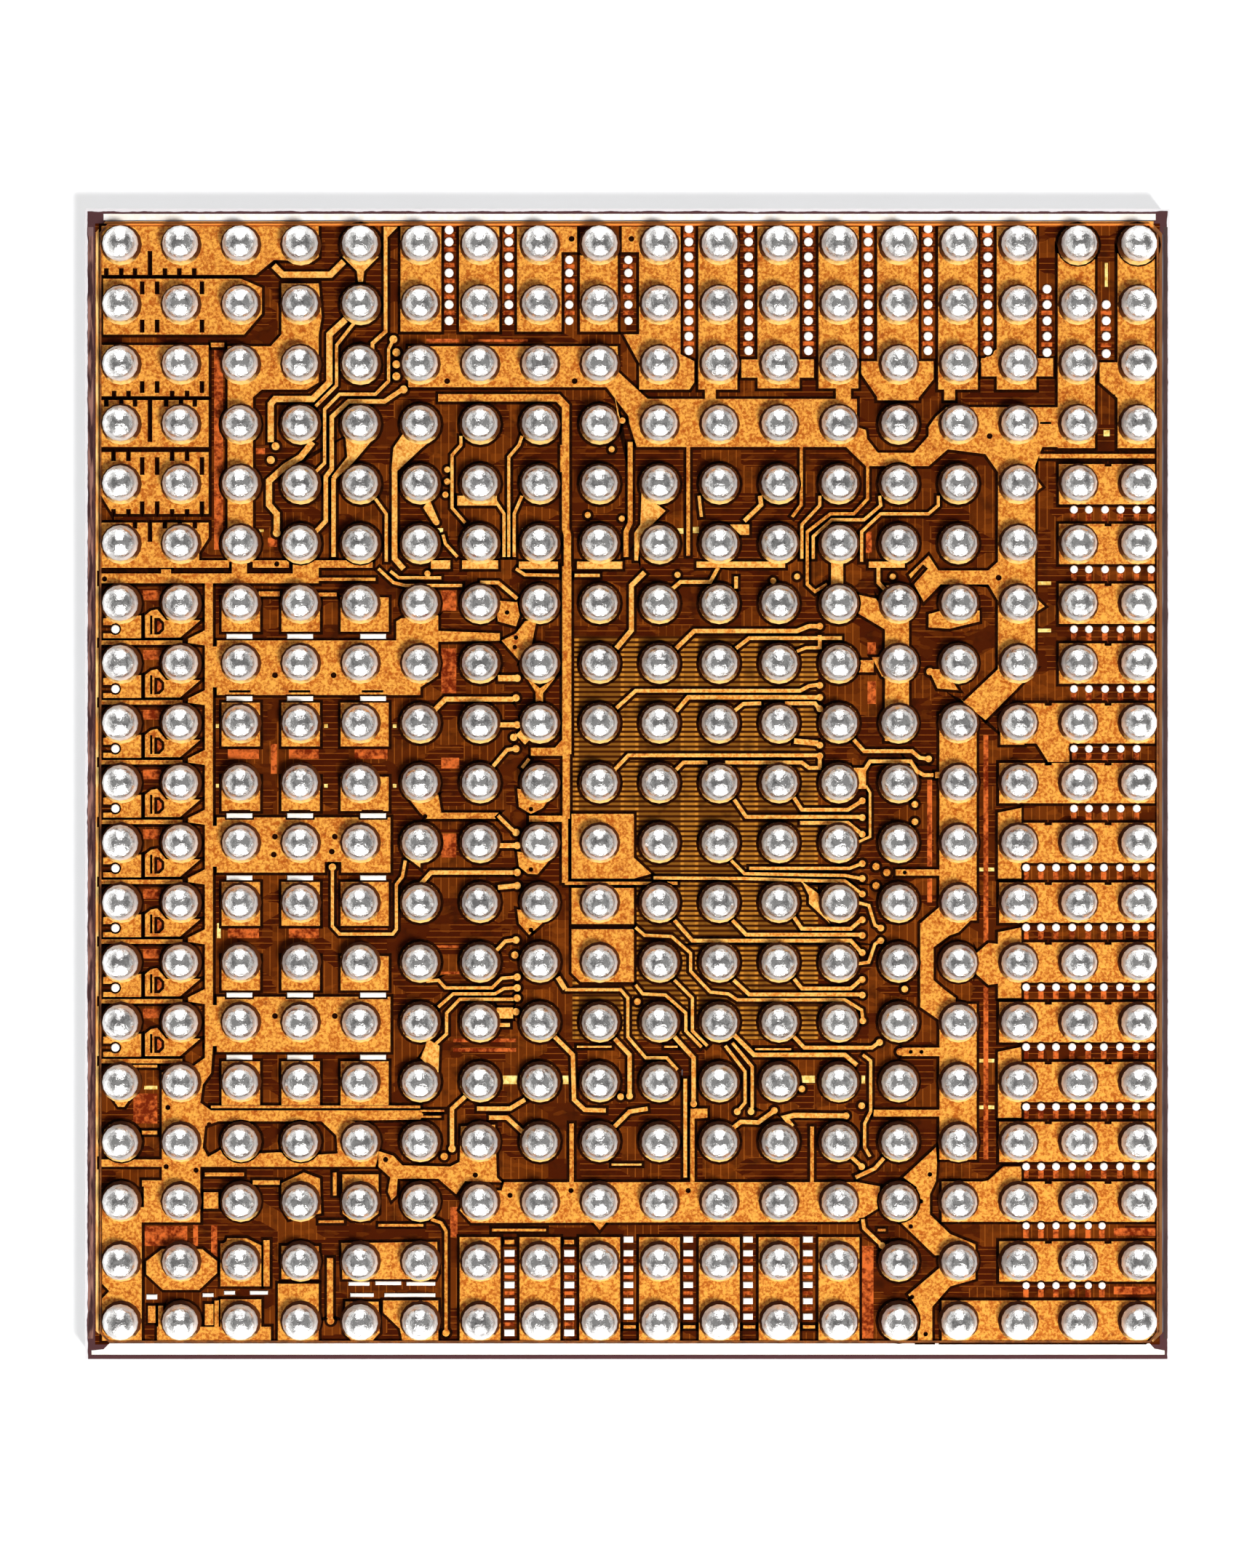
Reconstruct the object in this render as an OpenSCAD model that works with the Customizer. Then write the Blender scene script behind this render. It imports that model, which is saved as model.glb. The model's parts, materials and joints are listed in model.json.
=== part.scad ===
// Wafer-level ball grid array chip, 18 columns x 19 rows, lying on its black back with the balls up.
// Millimetres. Origin at the middle of the back face, +Z through the balls.
// The wiring is drawn in ball pitches: u counts columns from the left, v counts rows from the far edge.

/* [Grid] */
// Distance between neighbouring balls
ball_pitch = 0.4; // [0.35:0.05:0.8]
// Ball diameter as a share of the pitch
ball_share = 0.6; // [0.5:0.05:0.7]
// Height of a ball as a share of its diameter
ball_height_share = 0.79; // [0.7:0.01:0.85]

/* [Die] */
// Die edge beyond the outer columns, in pitches
margin_u = 0.575; // [0.57:0.005:0.7]
// Die edge beyond the outer rows, in pitches
margin_v = 0.625; // [0.62:0.005:0.8]
// Silicon thickness
silicon_thickness = 0.3; // [0.1:0.05:0.7]
// Black film on the back
film_thickness = 0.025; // [0.02:0.005:0.05]
// Diameter of the round mark for ball A1
mark_diameter = 0.3; // [0.2:0.05:0.4]

/* [Layers] */
// Each polyimide sheet
polyimide_thickness = 0.01; // [0.006:0.002:0.02]
// Copper wiring and the bright vias in it
copper_thickness = 0.01; // [0.006:0.002:0.02]

/* [Hidden] */
columns = 18;
rows = 19;
grid_shift_u = 0.035;
grid_shift_v = 0.02;
passivation_thickness = 0.005;
mark_depth = 0.008;
mark_from_side = 0.65;
mark_from_far_edge = 0.7;
land_radius = 0.34;
drop_radius = 0.065;
opening_radius = 0.25;
least_width = 0.012;
clearance = 0.03;

die_x = (columns - 1 + 2 * margin_u) * ball_pitch;
die_y = (rows - 1 + 2 * margin_v) * ball_pitch;
grid_x = ((1 - columns) / 2 + grid_shift_u) * ball_pitch;
grid_y = ((rows - 1) / 2 + grid_shift_v) * ball_pitch;
ball_diameter = ball_share * ball_pitch;
ball_height = ball_height_share * ball_diameter;

silicon_z = film_thickness;
passivation_z = silicon_z + silicon_thickness;
lower_z = passivation_z + passivation_thickness;
copper_z = lower_z + polyimide_thickness;
upper_z = copper_z + copper_thickness;
ball_z = upper_z + polyimide_thickness;

film_black = [0.05, 0.05, 0.06];
silicon_grey = [0.35, 0.33, 0.36];
passivation_brown = [0.25, 0.15, 0.08];
strap_red = [0.43, 0.14, 0.05];
mark_yellow = [0.9, 0.75, 0.35];
strip_cream = [0.9, 0.86, 0.75];
polyimide_amber = [0.75, 0.45, 0.12];
copper_orange = [0.84, 0.55, 0.2];
via_white = [0.93, 0.9, 0.84];
pad_nickel = [0.7, 0.68, 0.62];
solder_silver = [0.78, 0.78, 0.8];

// ---- drawing words, all in ball pitches ----

function at(p) = [grid_x + p[0] * ball_pitch, grid_y - p[1] * ball_pitch];
function heading(a, b) = (b - a) / norm(b - a);
function left_of(d) = [-d[1], d[0]];

// Point i of a path moved sideways by h, mitred where the path bends.
function beside(path, i, h) =
    let (last = len(path) - 1)
    let (before = left_of(heading(path[max(i - 1, 0)], path[max(i, 1)])))
    let (after = left_of(heading(path[min(i, last - 1)], path[min(i + 1, last)])))
    path[i] + (before + after) * h / (1 + before * after);

module area(points) {
    polygon([for (p = points) at(p)]);
}

module bar(u0, v0, u1, v1) {
    area([[u0, v0], [u1, v0], [u1, v1], [u0, v1]]);
}

module bars(list) {
    for (b = list) {
        bar(b[0], b[1], b[2], b[3]);
    }
}

// One slot or notch of width w and length h for every u in the list.
module slots(us, v, w, h) {
    for (u = us) {
        bar(u - w / 2, v - h / 2, u + w / 2, v + h / 2);
    }
}

module disc(u, v, r, sides = 20) {
    translate(at([u, v])) {
        circle(r * ball_pitch, $fn = sides);
    }
}

module lands(list, r = land_radius) {
    for (p = list) {
        disc(p[0], p[1], r);
    }
}

module drops(list, r = drop_radius) {
    for (p = list) {
        disc(p[0], p[1], r, 14);
    }
}

module trace(w, path) {
    last = len(path) - 1;
    area(concat(
        [for (i = [0 : last]) beside(path, i, w / 2)],
        [for (i = [last : -1 : 0]) beside(path, i, -w / 2)]
    ));
}

// A list of [width, path].
module traces(list) {
    for (t = list) {
        trace(t[0], t[1]);
    }
}

// A flat layer from z upwards; shapes thinner than least_width drop out.
module layer(z, thickness) {
    translate([0, 0, z]) {
        linear_extrude(thickness) {
            offset(delta = least_width * ball_pitch) {
                offset(delta = -least_width * ball_pitch) {
                    children();
                }
            }
        }
    }
}

module copper() {
    color(copper_orange) {
        layer(copper_z, copper_thickness) {
            children();
        }
    }
}

// Keeps wide copper a clear distance away from every signal trace and bright via.
module away_from_traces() {
    difference() {
        children();
        offset(delta = clearance * ball_pitch) {
            far_left_lines();
            far_right_lines();
            middle_left_lines();
            center_lines();
            near_lines();
            via_shapes();
        }
    }
}

// ---- far left corner: stacked pours, bus and strip ----

module pours_far_left_shapes() {
    area([[-0.33, -0.31], [3.3, -0.31], [3.3, 0.2], [3.2, 0.28], [2.55, 0.25], [2.25, 0.5], [-0.33, 0.5]]);
    area([[-0.3, 0.57], [2, 0.57], [2.35, 0.72], [2.35, 1.15], [2.05, 1.5], [-0.3, 1.5]]);
    area([[-0.33, 3.47], [1.46, 3.47], [1.46, 4.5], [-0.15, 4.5], [-0.33, 4.2]]);
    area([
        [-0.33, 4.65], [1.46, 4.65], [1.46, 4.9], [1.3, 5.15], [1.3, 5.28], [1.8, 5.28], [1.8, 5.4],
        [-0.33, 5.4]
    ]);
    area([
        [2.68, 0.65], [3.3, 0.65], [3.35, 1.2], [3.3, 1.5], [3.3, 2.3], [3.1, 2.42], [2.35, 2.42],
        [2.2, 2.55], [2.2, 5.3], [1.78, 5.3], [1.78, 1.7], [2.5, 1.7], [2.68, 1.5]
    ]);
    bars([
        [-0.33, 1.68, 1.46, 2.53], [-0.33, 2.6, 1.46, 3.38], [1.5, 1.64, 1.72, 1.71],
        [-0.36, 5.5, 3.3, 5.66], [3.3, 5.57, 4.25, 5.62], [1.85, 5.2, 2.1, 5.52],
        [2.2, 5.28, 2.8, 5.4], [2.87, 5.3, 3.3, 5.52], [2.87, 5.28, 4.2, 5.4],
        [0.67, 5.43, 0.83, 5.52], [2.3, 5.8, 2.65, 5.88], [3.3, 5.82, 3.6, 5.88]
    ]);
    lands([[2, 3], [2, 4], [2, 5], [3, 1], [3, 2]], 0.33);
}

module pours_far_left_slots() {
    slots([0.48], 0.33, 0.08, 0.46);
    slots([-0.25, 0, 0.23, 0.73, 0.97, 1.22], 0.45, 0.08, 0.12);
    slots([0.35, 0.6, 1.35], 0.72, 0.08, 0.22);
    slots([0.35, 0.6, 1.35], 1.36, 0.08, 0.22);
    slots([0.35, 0.6, 1.35], 2.38, 0.08, 0.2);
    slots([-0.12, 0.12, 0.85, 1.1], 2.5, 0.08, 0.12);
    slots([-0.25, 0, 0.23, 0.75, 1, 1.23], 2.65, 0.08, 0.12);
    slots([0.48], 2.96, 0.08, 0.68);
    slots([-0.13, 0.12, 0.85, 1.1], 3.55, 0.08, 0.14);
    slots([0.35, 0.6, 1.35], 3.7, 0.08, 0.3);
    slots([0.35, 0.6, 1.35], 4.4, 0.08, 0.22);
    slots([-0.13, 0.12, 0.85, 1.1], 4.47, 0.08, 0.1);
    slots([0.23, 0.73, 0.98, 1.23], 4.69, 0.08, 0.12);
    slots([0.48], 4.8, 0.08, 0.34);
    slots([3.5], -0.11, 0.25, 0.04);
    drops([[-0.28, 5.59], [2.6, 5.34]], 0.045);
}

module far_left_lines() {
    lands([[4, 0], [4, 1], [4, 2], [3, 3], [4, 3], [3, 4], [4, 4], [3, 5], [4, 5]]);
    area([[3.7, 0.2], [4.3, 0.2], [4.06, 0.44], [4.04, 0.62], [3.96, 0.62], [3.94, 0.44]]);
    area([[3.75, 3.2], [4.25, 3.2], [3.87, 3.65], [3.58, 3.92], [3.52, 3.88], [3.78, 3.55]]);
    area([[4.42, -0.1], [4.42, -0.3], [4.62, -0.3]]);
    traces([
        [0.1, [[2.55, 0.35], [2.7, 0.5], [3.5, 0.5], [3.72, 0.28]]],
        [0.1, [[3.75, 1.25], [3.48, 1.5], [3.48, 2.3], [3.2, 2.58], [2.57, 2.58], [2.5, 2.66], [2.5, 3.3]]],
        [0.05, [[3.9, 1.3], [3.6, 1.68], [3.6, 2.35], [3.25, 2.7]]],
        [0.06, [[4.42, -0.3], [4.42, 1.45], [4.2, 1.65], [4.2, 1.8]]],
        [0.05, [[4.55, 1.58], [4.47, 1.75], [4.47, 2.28], [4.25, 2.5], [3.65, 2.5], [3.4, 2.75],
            [3.4, 3.65], [3.25, 3.8]]],
        [0.07, [[4.7, 2.42], [4.4, 2.62], [3.8, 2.62], [3.52, 2.88], [3.52, 3.75], [3.42, 3.88],
            [3.42, 4.62], [3.25, 4.8]]],
        [0.1, [[3.2, 3.3], [3, 3.55], [2.75, 3.7], [2.47, 3.95], [2.47, 4.35], [2.6, 4.5], [2.6, 4.8]]],
        [0.07, [[3.55, 3.9], [3.55, 5.22]]],
        [0.05, [[4.25, 4.25], [4.43, 4.5], [4.43, 5.3]]]
    ]);
    drops([
        [2.58, 3.37], [4.55, 1.58], [4.72, 2.42], [4.6, 1.8], [4.6, 2], [4.6, 2.2], [2.5, 3.6], [2.6, 4.82]
    ]);
}

// ---- far right: pours run away from the far edge, then one wide pour and one long strip ----

module pours_far_right_shapes() {
    bars([
        [4.67, -0.3, 5.35, 1.45], [5.65, -0.3, 6.32, 1.45], [6.62, -0.3, 7.36, 1.45],
        [7.3, -0.3, 7.62, 0.12], [7.67, 0.18, 8.3, 1.45], [8.37, -0.3, 8.7, 0.12],
        [8.66, -0.3, 9.35, 2.42], [9.65, -0.3, 10.3, 2.42], [9.76, 2.4, 9.94, 2.62],
        [10.64, -0.3, 11.34, 2.4], [10.37, 1.92, 11.58, 2.22], [11.66, -0.3, 12.33, 2.4],
        [11.95, 2.38, 12.2, 2.62], [12.64, -0.3, 13.33, 2.6], [13.66, -0.3, 14.32, 2.42],
        [13.76, 2.4, 13.94, 2.6], [14.64, -0.3, 15.3, 2.42], [14.38, 1.9, 15.58, 2.2],
        [15.66, 0.15, 16.28, 3.4], [16.66, 0.15, 17.28, 3.4], [4.8, 1.7, 8.3, 2.38]
    ]);
    area([[8.4, 1.5], [8.7, 1.5], [9.58, 1.95], [9.58, 2.3], [9.5, 2.42], [8.9, 2.42]]);
    area([[12.37, 1.95], [13.58, 1.95], [13.58, 2.25], [13.3, 2.6], [12.68, 2.6], [12.37, 2.15]]);
    area([[14.37, 1.95], [14.7, 1.7], [14.7, 2.2], [14.45, 2.2]]);
    area([[16.36, 1.97], [16.7, 1.97], [16.7, 2.6], [16.36, 2.3]]);
    area([[8.05, 2.3], [8.3, 2.12], [8.8, 2.58], [12.3, 2.58], [12.3, 3.05], [12.45, 3.1], [12.47, 3.25],
        [12.65, 3.48], [13.25, 3.48], [13.5, 3.2], [13.5, 3.05], [13.62, 2.88], [13.8, 2.72], [16.25, 2.72],
        [16.25, 3.38], [15.4, 3.38], [15.28, 3.7], [15.28, 7.1], [14.66, 7.1],
        [14.66, 5.95], [14.5, 5.68], [13.7, 5.68], [13.42, 5.97], [13.17, 5.52], [13.5, 5.2],
        [13.66, 5.45], [14.5, 5.45], [14.66, 5.3], [14.66, 3.8], [14.45, 3.5], [13.82, 3.42], [13.5, 3.7],
        [12.45, 3.7], [12.12, 3.38], [8.62, 3.38], [8.5, 3], [8.48, 2.86]]);
    area([[15.2, 3.8], [15.4, 4.05], [15.2, 4.2]]);
    area([[15.2, 5.82], [15.44, 6.05], [15.2, 6.2]]);
    bar(15.35, 3.5, 17.28, 3.57);
    area([[13.5, 6.18], [13.72, 6.12], [14.35, 6.12], [14.35, 6.3], [13.85, 6.42], [13.5, 6.4]]);
    lands([[14, 6]], 0.33);
    traces([
        [0.08, [[8.51, 3.3], [8.51, 4.65], [8.44, 4.8], [8.44, 5.22]]],
        [0.06, [[9.48, 3.3], [9.48, 5.2]]],
        [0.05, [[11.37, 3.3], [11.37, 4.35], [11.22, 4.55]]],
        [0.05, [[12.48, 3.6], [12.48, 4.25], [12.25, 4.5], [11.86, 4.5], [11.47, 4.8], [11.47, 5.68],
            [11.6, 5.8], [11.8, 5.68]]]
    ]);
}

module pours_far_right_slots() {
    drops([[7.53, -0.1], [5.45, 2.28], [7.58, 2.28], [14.52, 3.2], [14.67, 5.57], [8.53, -0.1]], 0.05);
    slots([10.34, 11.62, 12.35, 13.62], 2.15, 0.05, 0.5);
    trace(0.11, [[13.22, 5.64], [13.45, 5.38]]);
    bars([
        [8.8, 2.47, 9.7, 2.53], [9.97, 2.47, 11.92, 2.53], [15.36, 2.96, 15.55, 3], [16.3, 2.5, 16.62, 3.4]
    ]);
}

module far_right_lines() {
    lands([
        [5, 3], [6, 3], [7, 3], [8, 3], [13, 3], [5, 4], [6, 4], [7, 4], [8, 4], [9, 4], [10, 4], [11, 4],
        [12, 4], [13, 4], [14, 4], [5, 5], [6, 5], [7, 5], [8, 5], [9, 5], [10, 5], [11, 5], [12, 5],
        [13, 5], [14, 5], [9, 6], [12, 6], [8, 7]
    ]);
    area([[4.72, 3.15], [4.55, 3.4], [4.52, 3.78], [4.62, 3.78], [5, 3.42], [5.2, 3.25]]);
    area([[5.05, 4.4], [5.15, 4.25], [5.3, 4.6], [5.22, 4.66]]);
    area([[8.7, 4.15], [8.68, 4.68], [8.58, 4.82], [8.58, 5.28], [8.64, 5.28], [8.68, 4.88], [9.1, 4.45]]);
    area([[10.18, 4.68], [10.5, 4.68], [10.5, 4.85], [10.35, 4.85]]);
    traces([
        [0.09, [[4.57, 3.75], [4.57, 5.25], [4.72, 5.42]]],
        [0.05, [[4.3, 5.42], [4.55, 5.65], [4.75, 5.7], [5.7, 5.7]]],
        [0.05, [[4.5, 5.46], [4.64, 5.57], [5.35, 5.57]]],
        [0.05, [[5.68, 3.2], [5.68, 3.35], [5.53, 3.52], [5.53, 4.4], [5.75, 4.65]]],
        [0.05, [[6.2, 4.2], [6.4, 4.5], [6.4, 5.22]]],
        [0.05, [[6.7, 3.2], [6.65, 3.35], [6.48, 3.55], [6.48, 5.22]]],
        [0.05, [[6.7, 4.2], [6.57, 4.5], [6.57, 5.22]]],
        [0.05, [[5.38, 4.85], [5.42, 5], [5.62, 5.22]]],
        [0.06, [[6, 5.65], [6.3, 5.65], [6.62, 5.92]]],
        [0.05, [[6.6, 5.42], [6.75, 5.52], [7.32, 5.53]]],
        [0.05, [[7.58, 5.53], [8, 5.53]]],
        [0.05, [[9.66, 4.2], [9.7, 4.55]]],
        [0.07, [[10.68, 4.2], [10.7, 4.35], [10.42, 4.62]]],
        [0.05, [[11.68, 4.2], [11.68, 4.36], [11.38, 4.68], [11.38, 5.25]]],
        [0.05, [[12.68, 4.2], [12.7, 4.36], [12.42, 4.6], [11.88, 4.6], [11.57, 4.88], [11.57, 5.25]]],
        [0.05, [[13.66, 4.2], [13.66, 4.36], [13.5, 4.5], [12.7, 4.5], [12.38, 4.8], [12.38, 5.3]]],
        [0.06, [[12.66, 5.35], [12.66, 5.65], [12.76, 5.76]]],
        [0.06, [[10.28, 5.55], [10.28, 5.75]]],
        [0.08, [[8.75, 5.48], [8.53, 5.7], [8.53, 6.45], [8.28, 6.75]]],
        [0.06, [[9.22, 5.75], [9.35, 5.64], [9.85, 5.64], [9.98, 5.4]]]
    ]);
    bars([
        [5.62, 4.2, 6.28, 4.36], [11.87, 5.2, 12.07, 5.8], [5.18, 5.28, 5.5, 5.42], [5.7, 5.28, 6.3, 5.42],
        [6.65, 5.3, 7.3, 5.42], [7.62, 5.3, 8.38, 5.42], [9.62, 5.3, 11.1, 5.4], [12.5, 5.3, 13.1, 5.4]
    ]);
    drops([
        [5.27, 4.64], [5.12, 5.5], [9.3, 5.52], [10.9, 5.62], [11.3, 5.55], [12.9, 5.55], [8.38, 2.94],
        [8.2, 3.42], [5.45, 3.76], [5.45, 3.96], [5.42, 4.18], [7.8, 4.52], [8.37, 4.58]
    ], 0.05);
}

// ---- left cells: one cell beside every ball of rows 6 to 13, tied to a bus ----

module left_cell(r) {
    bar(-0.36, r + 0.62, 1.02, r + 0.69);
    area([[-0.3, r + 0.25], [0.33, r + 0.2], [0.33, r + 0.58], [-0.3, r + 0.58]]);
    difference() {
        area([
            [0.4, r + 0.2], [0.5, r + 0.12], [0.6, r + 0.1], [0.75, r + 0.28], [1.32, r + 0.28],
            [0.98, r + 0.57], [0.4, r + 0.57]
        ]);
        bar(0.48, r + 0.2, 0.52, r + 0.52);
        area([[0.55, r + 0.24], [0.64, r + 0.24], [0.72, r + 0.32], [0.72, r + 0.44], [0.64, r + 0.52],
            [0.55, r + 0.52]]);
    }
    if (r < 13) {
        area([[1.12, r + 0.59], [1.4, r + 0.45], [1.4, r + 0.7], [1.12, r + 0.66]]);
    }
}

module pours_left_cells_shapes() {
    for (r = [6 : 13]) {
        left_cell(r);
    }
    for (r = [6 : 13]) {
        lands([[0, r], [1, r]], 0.33);
    }
    bar(1.4, 5.66, 1.53, 13.4);
    bar(0.2, 13.72, 0.6, 13.76);
}

module pours_left_cells_slots() {
    for (r = [6 : 13]) {
        bar(-0.32, r + 0.36, -0.14, r + 0.5);
    }
}

// ---- left block: pours and white bars of columns 2 to 4 ----

module pours_left_block_shapes() {
    for (r = [8, 11, 14]) {
        bars([
            [1.68, r - 0.34, 2.32, r + 0.39], [2.68, r - 0.34, 3.32, r + 0.39],
            [3.67, r - 0.34, 4.47, r + 0.39]
        ]);
    }
    for (r = [6, 9, 12]) {
        bars([
            [1.68, r - 0.1, 2.32, r + 0.47], [2.68, r - 0.1, 3.32, r + 0.47], [3.67, r - 0.1, 4.47, r + 0.47]
        ]);
    }
    bar(1.6, 6.62, 5, 7.53);
    bar(1.6, 9.58, 4.5, 10.5);
    bar(1.6, 12.58, 4.5, 13.5);
    for (r = [7, 10, 13]) {
        bar(1.53, r - 0.28, 1.7, r + 0.4);
    }
    area([[4.68, 6.25], [5.3, 6.2], [5.3, 6.46], [6.33, 6.5], [6.33, 6.62], [5.3, 6.64], [5.3, 7.2], [5, 7.4],
        [4.85, 7.53], [4.6, 7.5], [4.6, 6.3]]);
    lands([[5, 6], [5, 7]], 0.33);
}

module pours_left_block_slots() {
    drops([
        [2.57, 7.2], [3.55, 7.2], [2.57, 9.9], [3.57, 9.9], [3.52, 10.15], [2.55, 10.2], [2.57, 12.9],
        [3.57, 12.9]
    ], 0.05);
    for (v = [7.47, 9.47]) {
        slots([1.98, 2.98, 4.2], v, 0.36, 0.04);
    }
    bar(3.4, 10.32, 3.68, 10.5);
}

// ---- middle: spine down column 7, square lands, small pours beside the via column ----

module pours_middle_shapes() {
    traces([
        [0.12, [[5.3, 2.56], [7.3, 2.56], [7.43, 2.7], [7.43, 4.75], [7.46, 4.85], [7.46, 5.4]]],
        [0.15, [[7.45, 5.38], [7.45, 8.52]]],
        [0.12, [[7.44, 8.45], [7.44, 9.6]]],
        [0.1, [[7.42, 9.55], [7.42, 10.67]]],
        [0.05, [[7.42, 10.68], [9.3, 10.68]]],
        [0.13, [[7.44, 8.48], [6.85, 8.48]]],
        [0.1, [[7.44, 9.6], [6.82, 9.6]]]
    ]);
    area([[7.22, 8.45], [7.4, 8.25], [7.45, 8.45]]);
    bar(7.34, 3.35, 7.48, 3.8);
    area([[7.53, 9.52], [8.57, 9.52], [8.57, 10.25], [8.86, 10.52], [8.57, 10.6], [7.53, 10.6]]);
    area([[7.53, 10.76], [8.57, 10.76], [8.57, 11.36], [7.53, 11.36]]);
    area([[7.53, 11.45], [8.57, 11.45], [8.57, 12.33], [7.68, 12.33], [7.53, 12.18]]);
    area([[6.36, 6.62], [6.65, 6.95], [6.85, 6.75], [6.95, 6.25], [6.75, 6.3], [6.6, 6.5]]);
    area([[6.25, 5.95], [6.62, 5.98], [6.66, 6.2], [6.6, 6.38], [6.3, 6.3]]);
    area([[4.8, 9.25], [5, 9.5], [5.1, 9.6], [6.3, 9.6], [6.32, 9.5], [5.35, 9.5], [5.3, 9.2]]);
    area([[6.62, 9.1], [6.65, 9.4], [6.85, 9.52], [7.05, 9.42], [7.2, 9.2]]);
    area([[6.62, 10.15], [6.65, 10.4], [6.8, 10.52], [6.96, 10.53], [7.2, 10.25]]);
    area([[6.62, 11.12], [6.65, 11.35], [6.82, 11.54], [6.96, 11.42], [7.2, 11.2]]);
    area([[6.75, 7.2], [7, 7.42], [7.25, 7.25], [7.05, 7.5], [7.05, 7.65], [6.93, 7.65], [6.93, 7.48]]);
    lands([[8, 10], [8, 11], [8, 12], [6, 6], [7, 6], [7, 7], [5, 9], [7, 9], [7, 10], [7, 11]], 0.33);
}

module pours_middle_slots() {
    drops([
        [6.6, 6.57], [6.58, 6.73], [5.08, 9.56], [6.85, 9.44], [6.85, 10.45], [6.85, 11.46], [6.45, 6.15]
    ], 0.04);
}

module middle_left_lines() {
    lands([
        [6, 7], [5, 8], [6, 8], [7, 8], [6, 9], [5, 10], [6, 10], [5, 11], [6, 11], [5, 12], [6, 12],
        [7, 12], [5, 13], [6, 13], [7, 13], [5, 14], [6, 14], [7, 14], [9, 14], [7, 15]
    ]);
    area([[6.6, 8.2], [6.75, 8.36], [6.9, 8.2], [6.75, 8.05]]);
    area([[4.72, 10.2], [5, 10.42], [5, 10.2]]);
    area([[5.15, 13.3], [5, 13.6], [5.3, 13.9], [5.32, 13.4]]);
    traces([
        [0.1, [[6.3, 7.25], [6.6, 7.25]]],
        [0.08, [[5.22, 7.8], [5.42, 7.6], [6.56, 7.6]]],
        [0.08, [[6.3, 8.03], [6.6, 8.03]]],
        [0.06, [[6.58, 8.43], [6.45, 8.45], [6.22, 8.72]]],
        [0.06, [[6.3, 9.55], [6.5, 9.75], [6.58, 9.82]]],
        [0.08, [[6.3, 10.05], [6.6, 10.05]]],
        [0.07, [[5, 10.7], [5.18, 10.5], [6.56, 10.5]]],
        [0.08, [[6.3, 10.75], [6.6, 10.72]]],
        [0.06, [[6.28, 11.8], [6.42, 11.65], [6.56, 11.63]]],
        [0.05, [[5.1, 12.32], [5.3, 12.3], [5.42, 12.43], [6.2, 12.43], [6.36, 12.27], [6.58, 12.25]]],
        [0.05, [[5.3, 12.75], [5.55, 12.53], [6.25, 12.53], [6.4, 12.44], [6.58, 12.43]]],
        [0.05, [[6.56, 12.62], [5.66, 12.62], [5.44, 12.85], [5.44, 13.2], [5.2, 13.42]]],
        [0.05, [[6.82, 8.6], [6.7, 8.75]]],
        [0.05, [[3.53, 10.42], [3.53, 11.4], [3.65, 11.53], [4.54, 11.53], [4.6, 11.45], [4.6, 10.7],
            [4.7, 10.57], [4.75, 10.3]]],
        [0.08, [[7.3, 12.25], [7.42, 12.45]]],
        [0.05, [[7.42, 12.46], [8.35, 12.46], [8.47, 12.6], [8.47, 13.25], [8.77, 13.6], [9.12, 13.6],
            [9.3, 13.8]]],
        [0.07, [[7.25, 13.25], [7.55, 13.55], [7.57, 14.3], [7.75, 14.47], [8.1, 14.48]]],
        [0.07, [[6.75, 14.3], [6.5, 14.45], [5.95, 14.45]]],
        [0.07, [[5.75, 14.25], [5.53, 14.45], [5.53, 15.1]]],
        [0.07, [[6.15, 14.6], [6.45, 14.6], [6.72, 14.85]]]
    ]);
    bars([[6.28, 12.76, 6.55, 12.94], [6.3, 13.02, 6.5, 13.08]]);
    drops([
        [6.62, 7.25], [6.6, 7.58], [6.62, 8.03], [6.56, 8.24], [6.6, 8.43], [6.6, 9.83], [6.62, 10.05],
        [6.62, 10.5], [6.62, 10.72], [6.6, 11.63], [6.58, 11.88], [6.62, 12.25], [6.62, 12.43], [6.62, 12.6],
        [6.6, 12.83], [3.53, 10.41], [5.53, 15.12]
    ], 0.06);
}

// ---- center: fine traces across columns 8 to 13 ----

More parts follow.
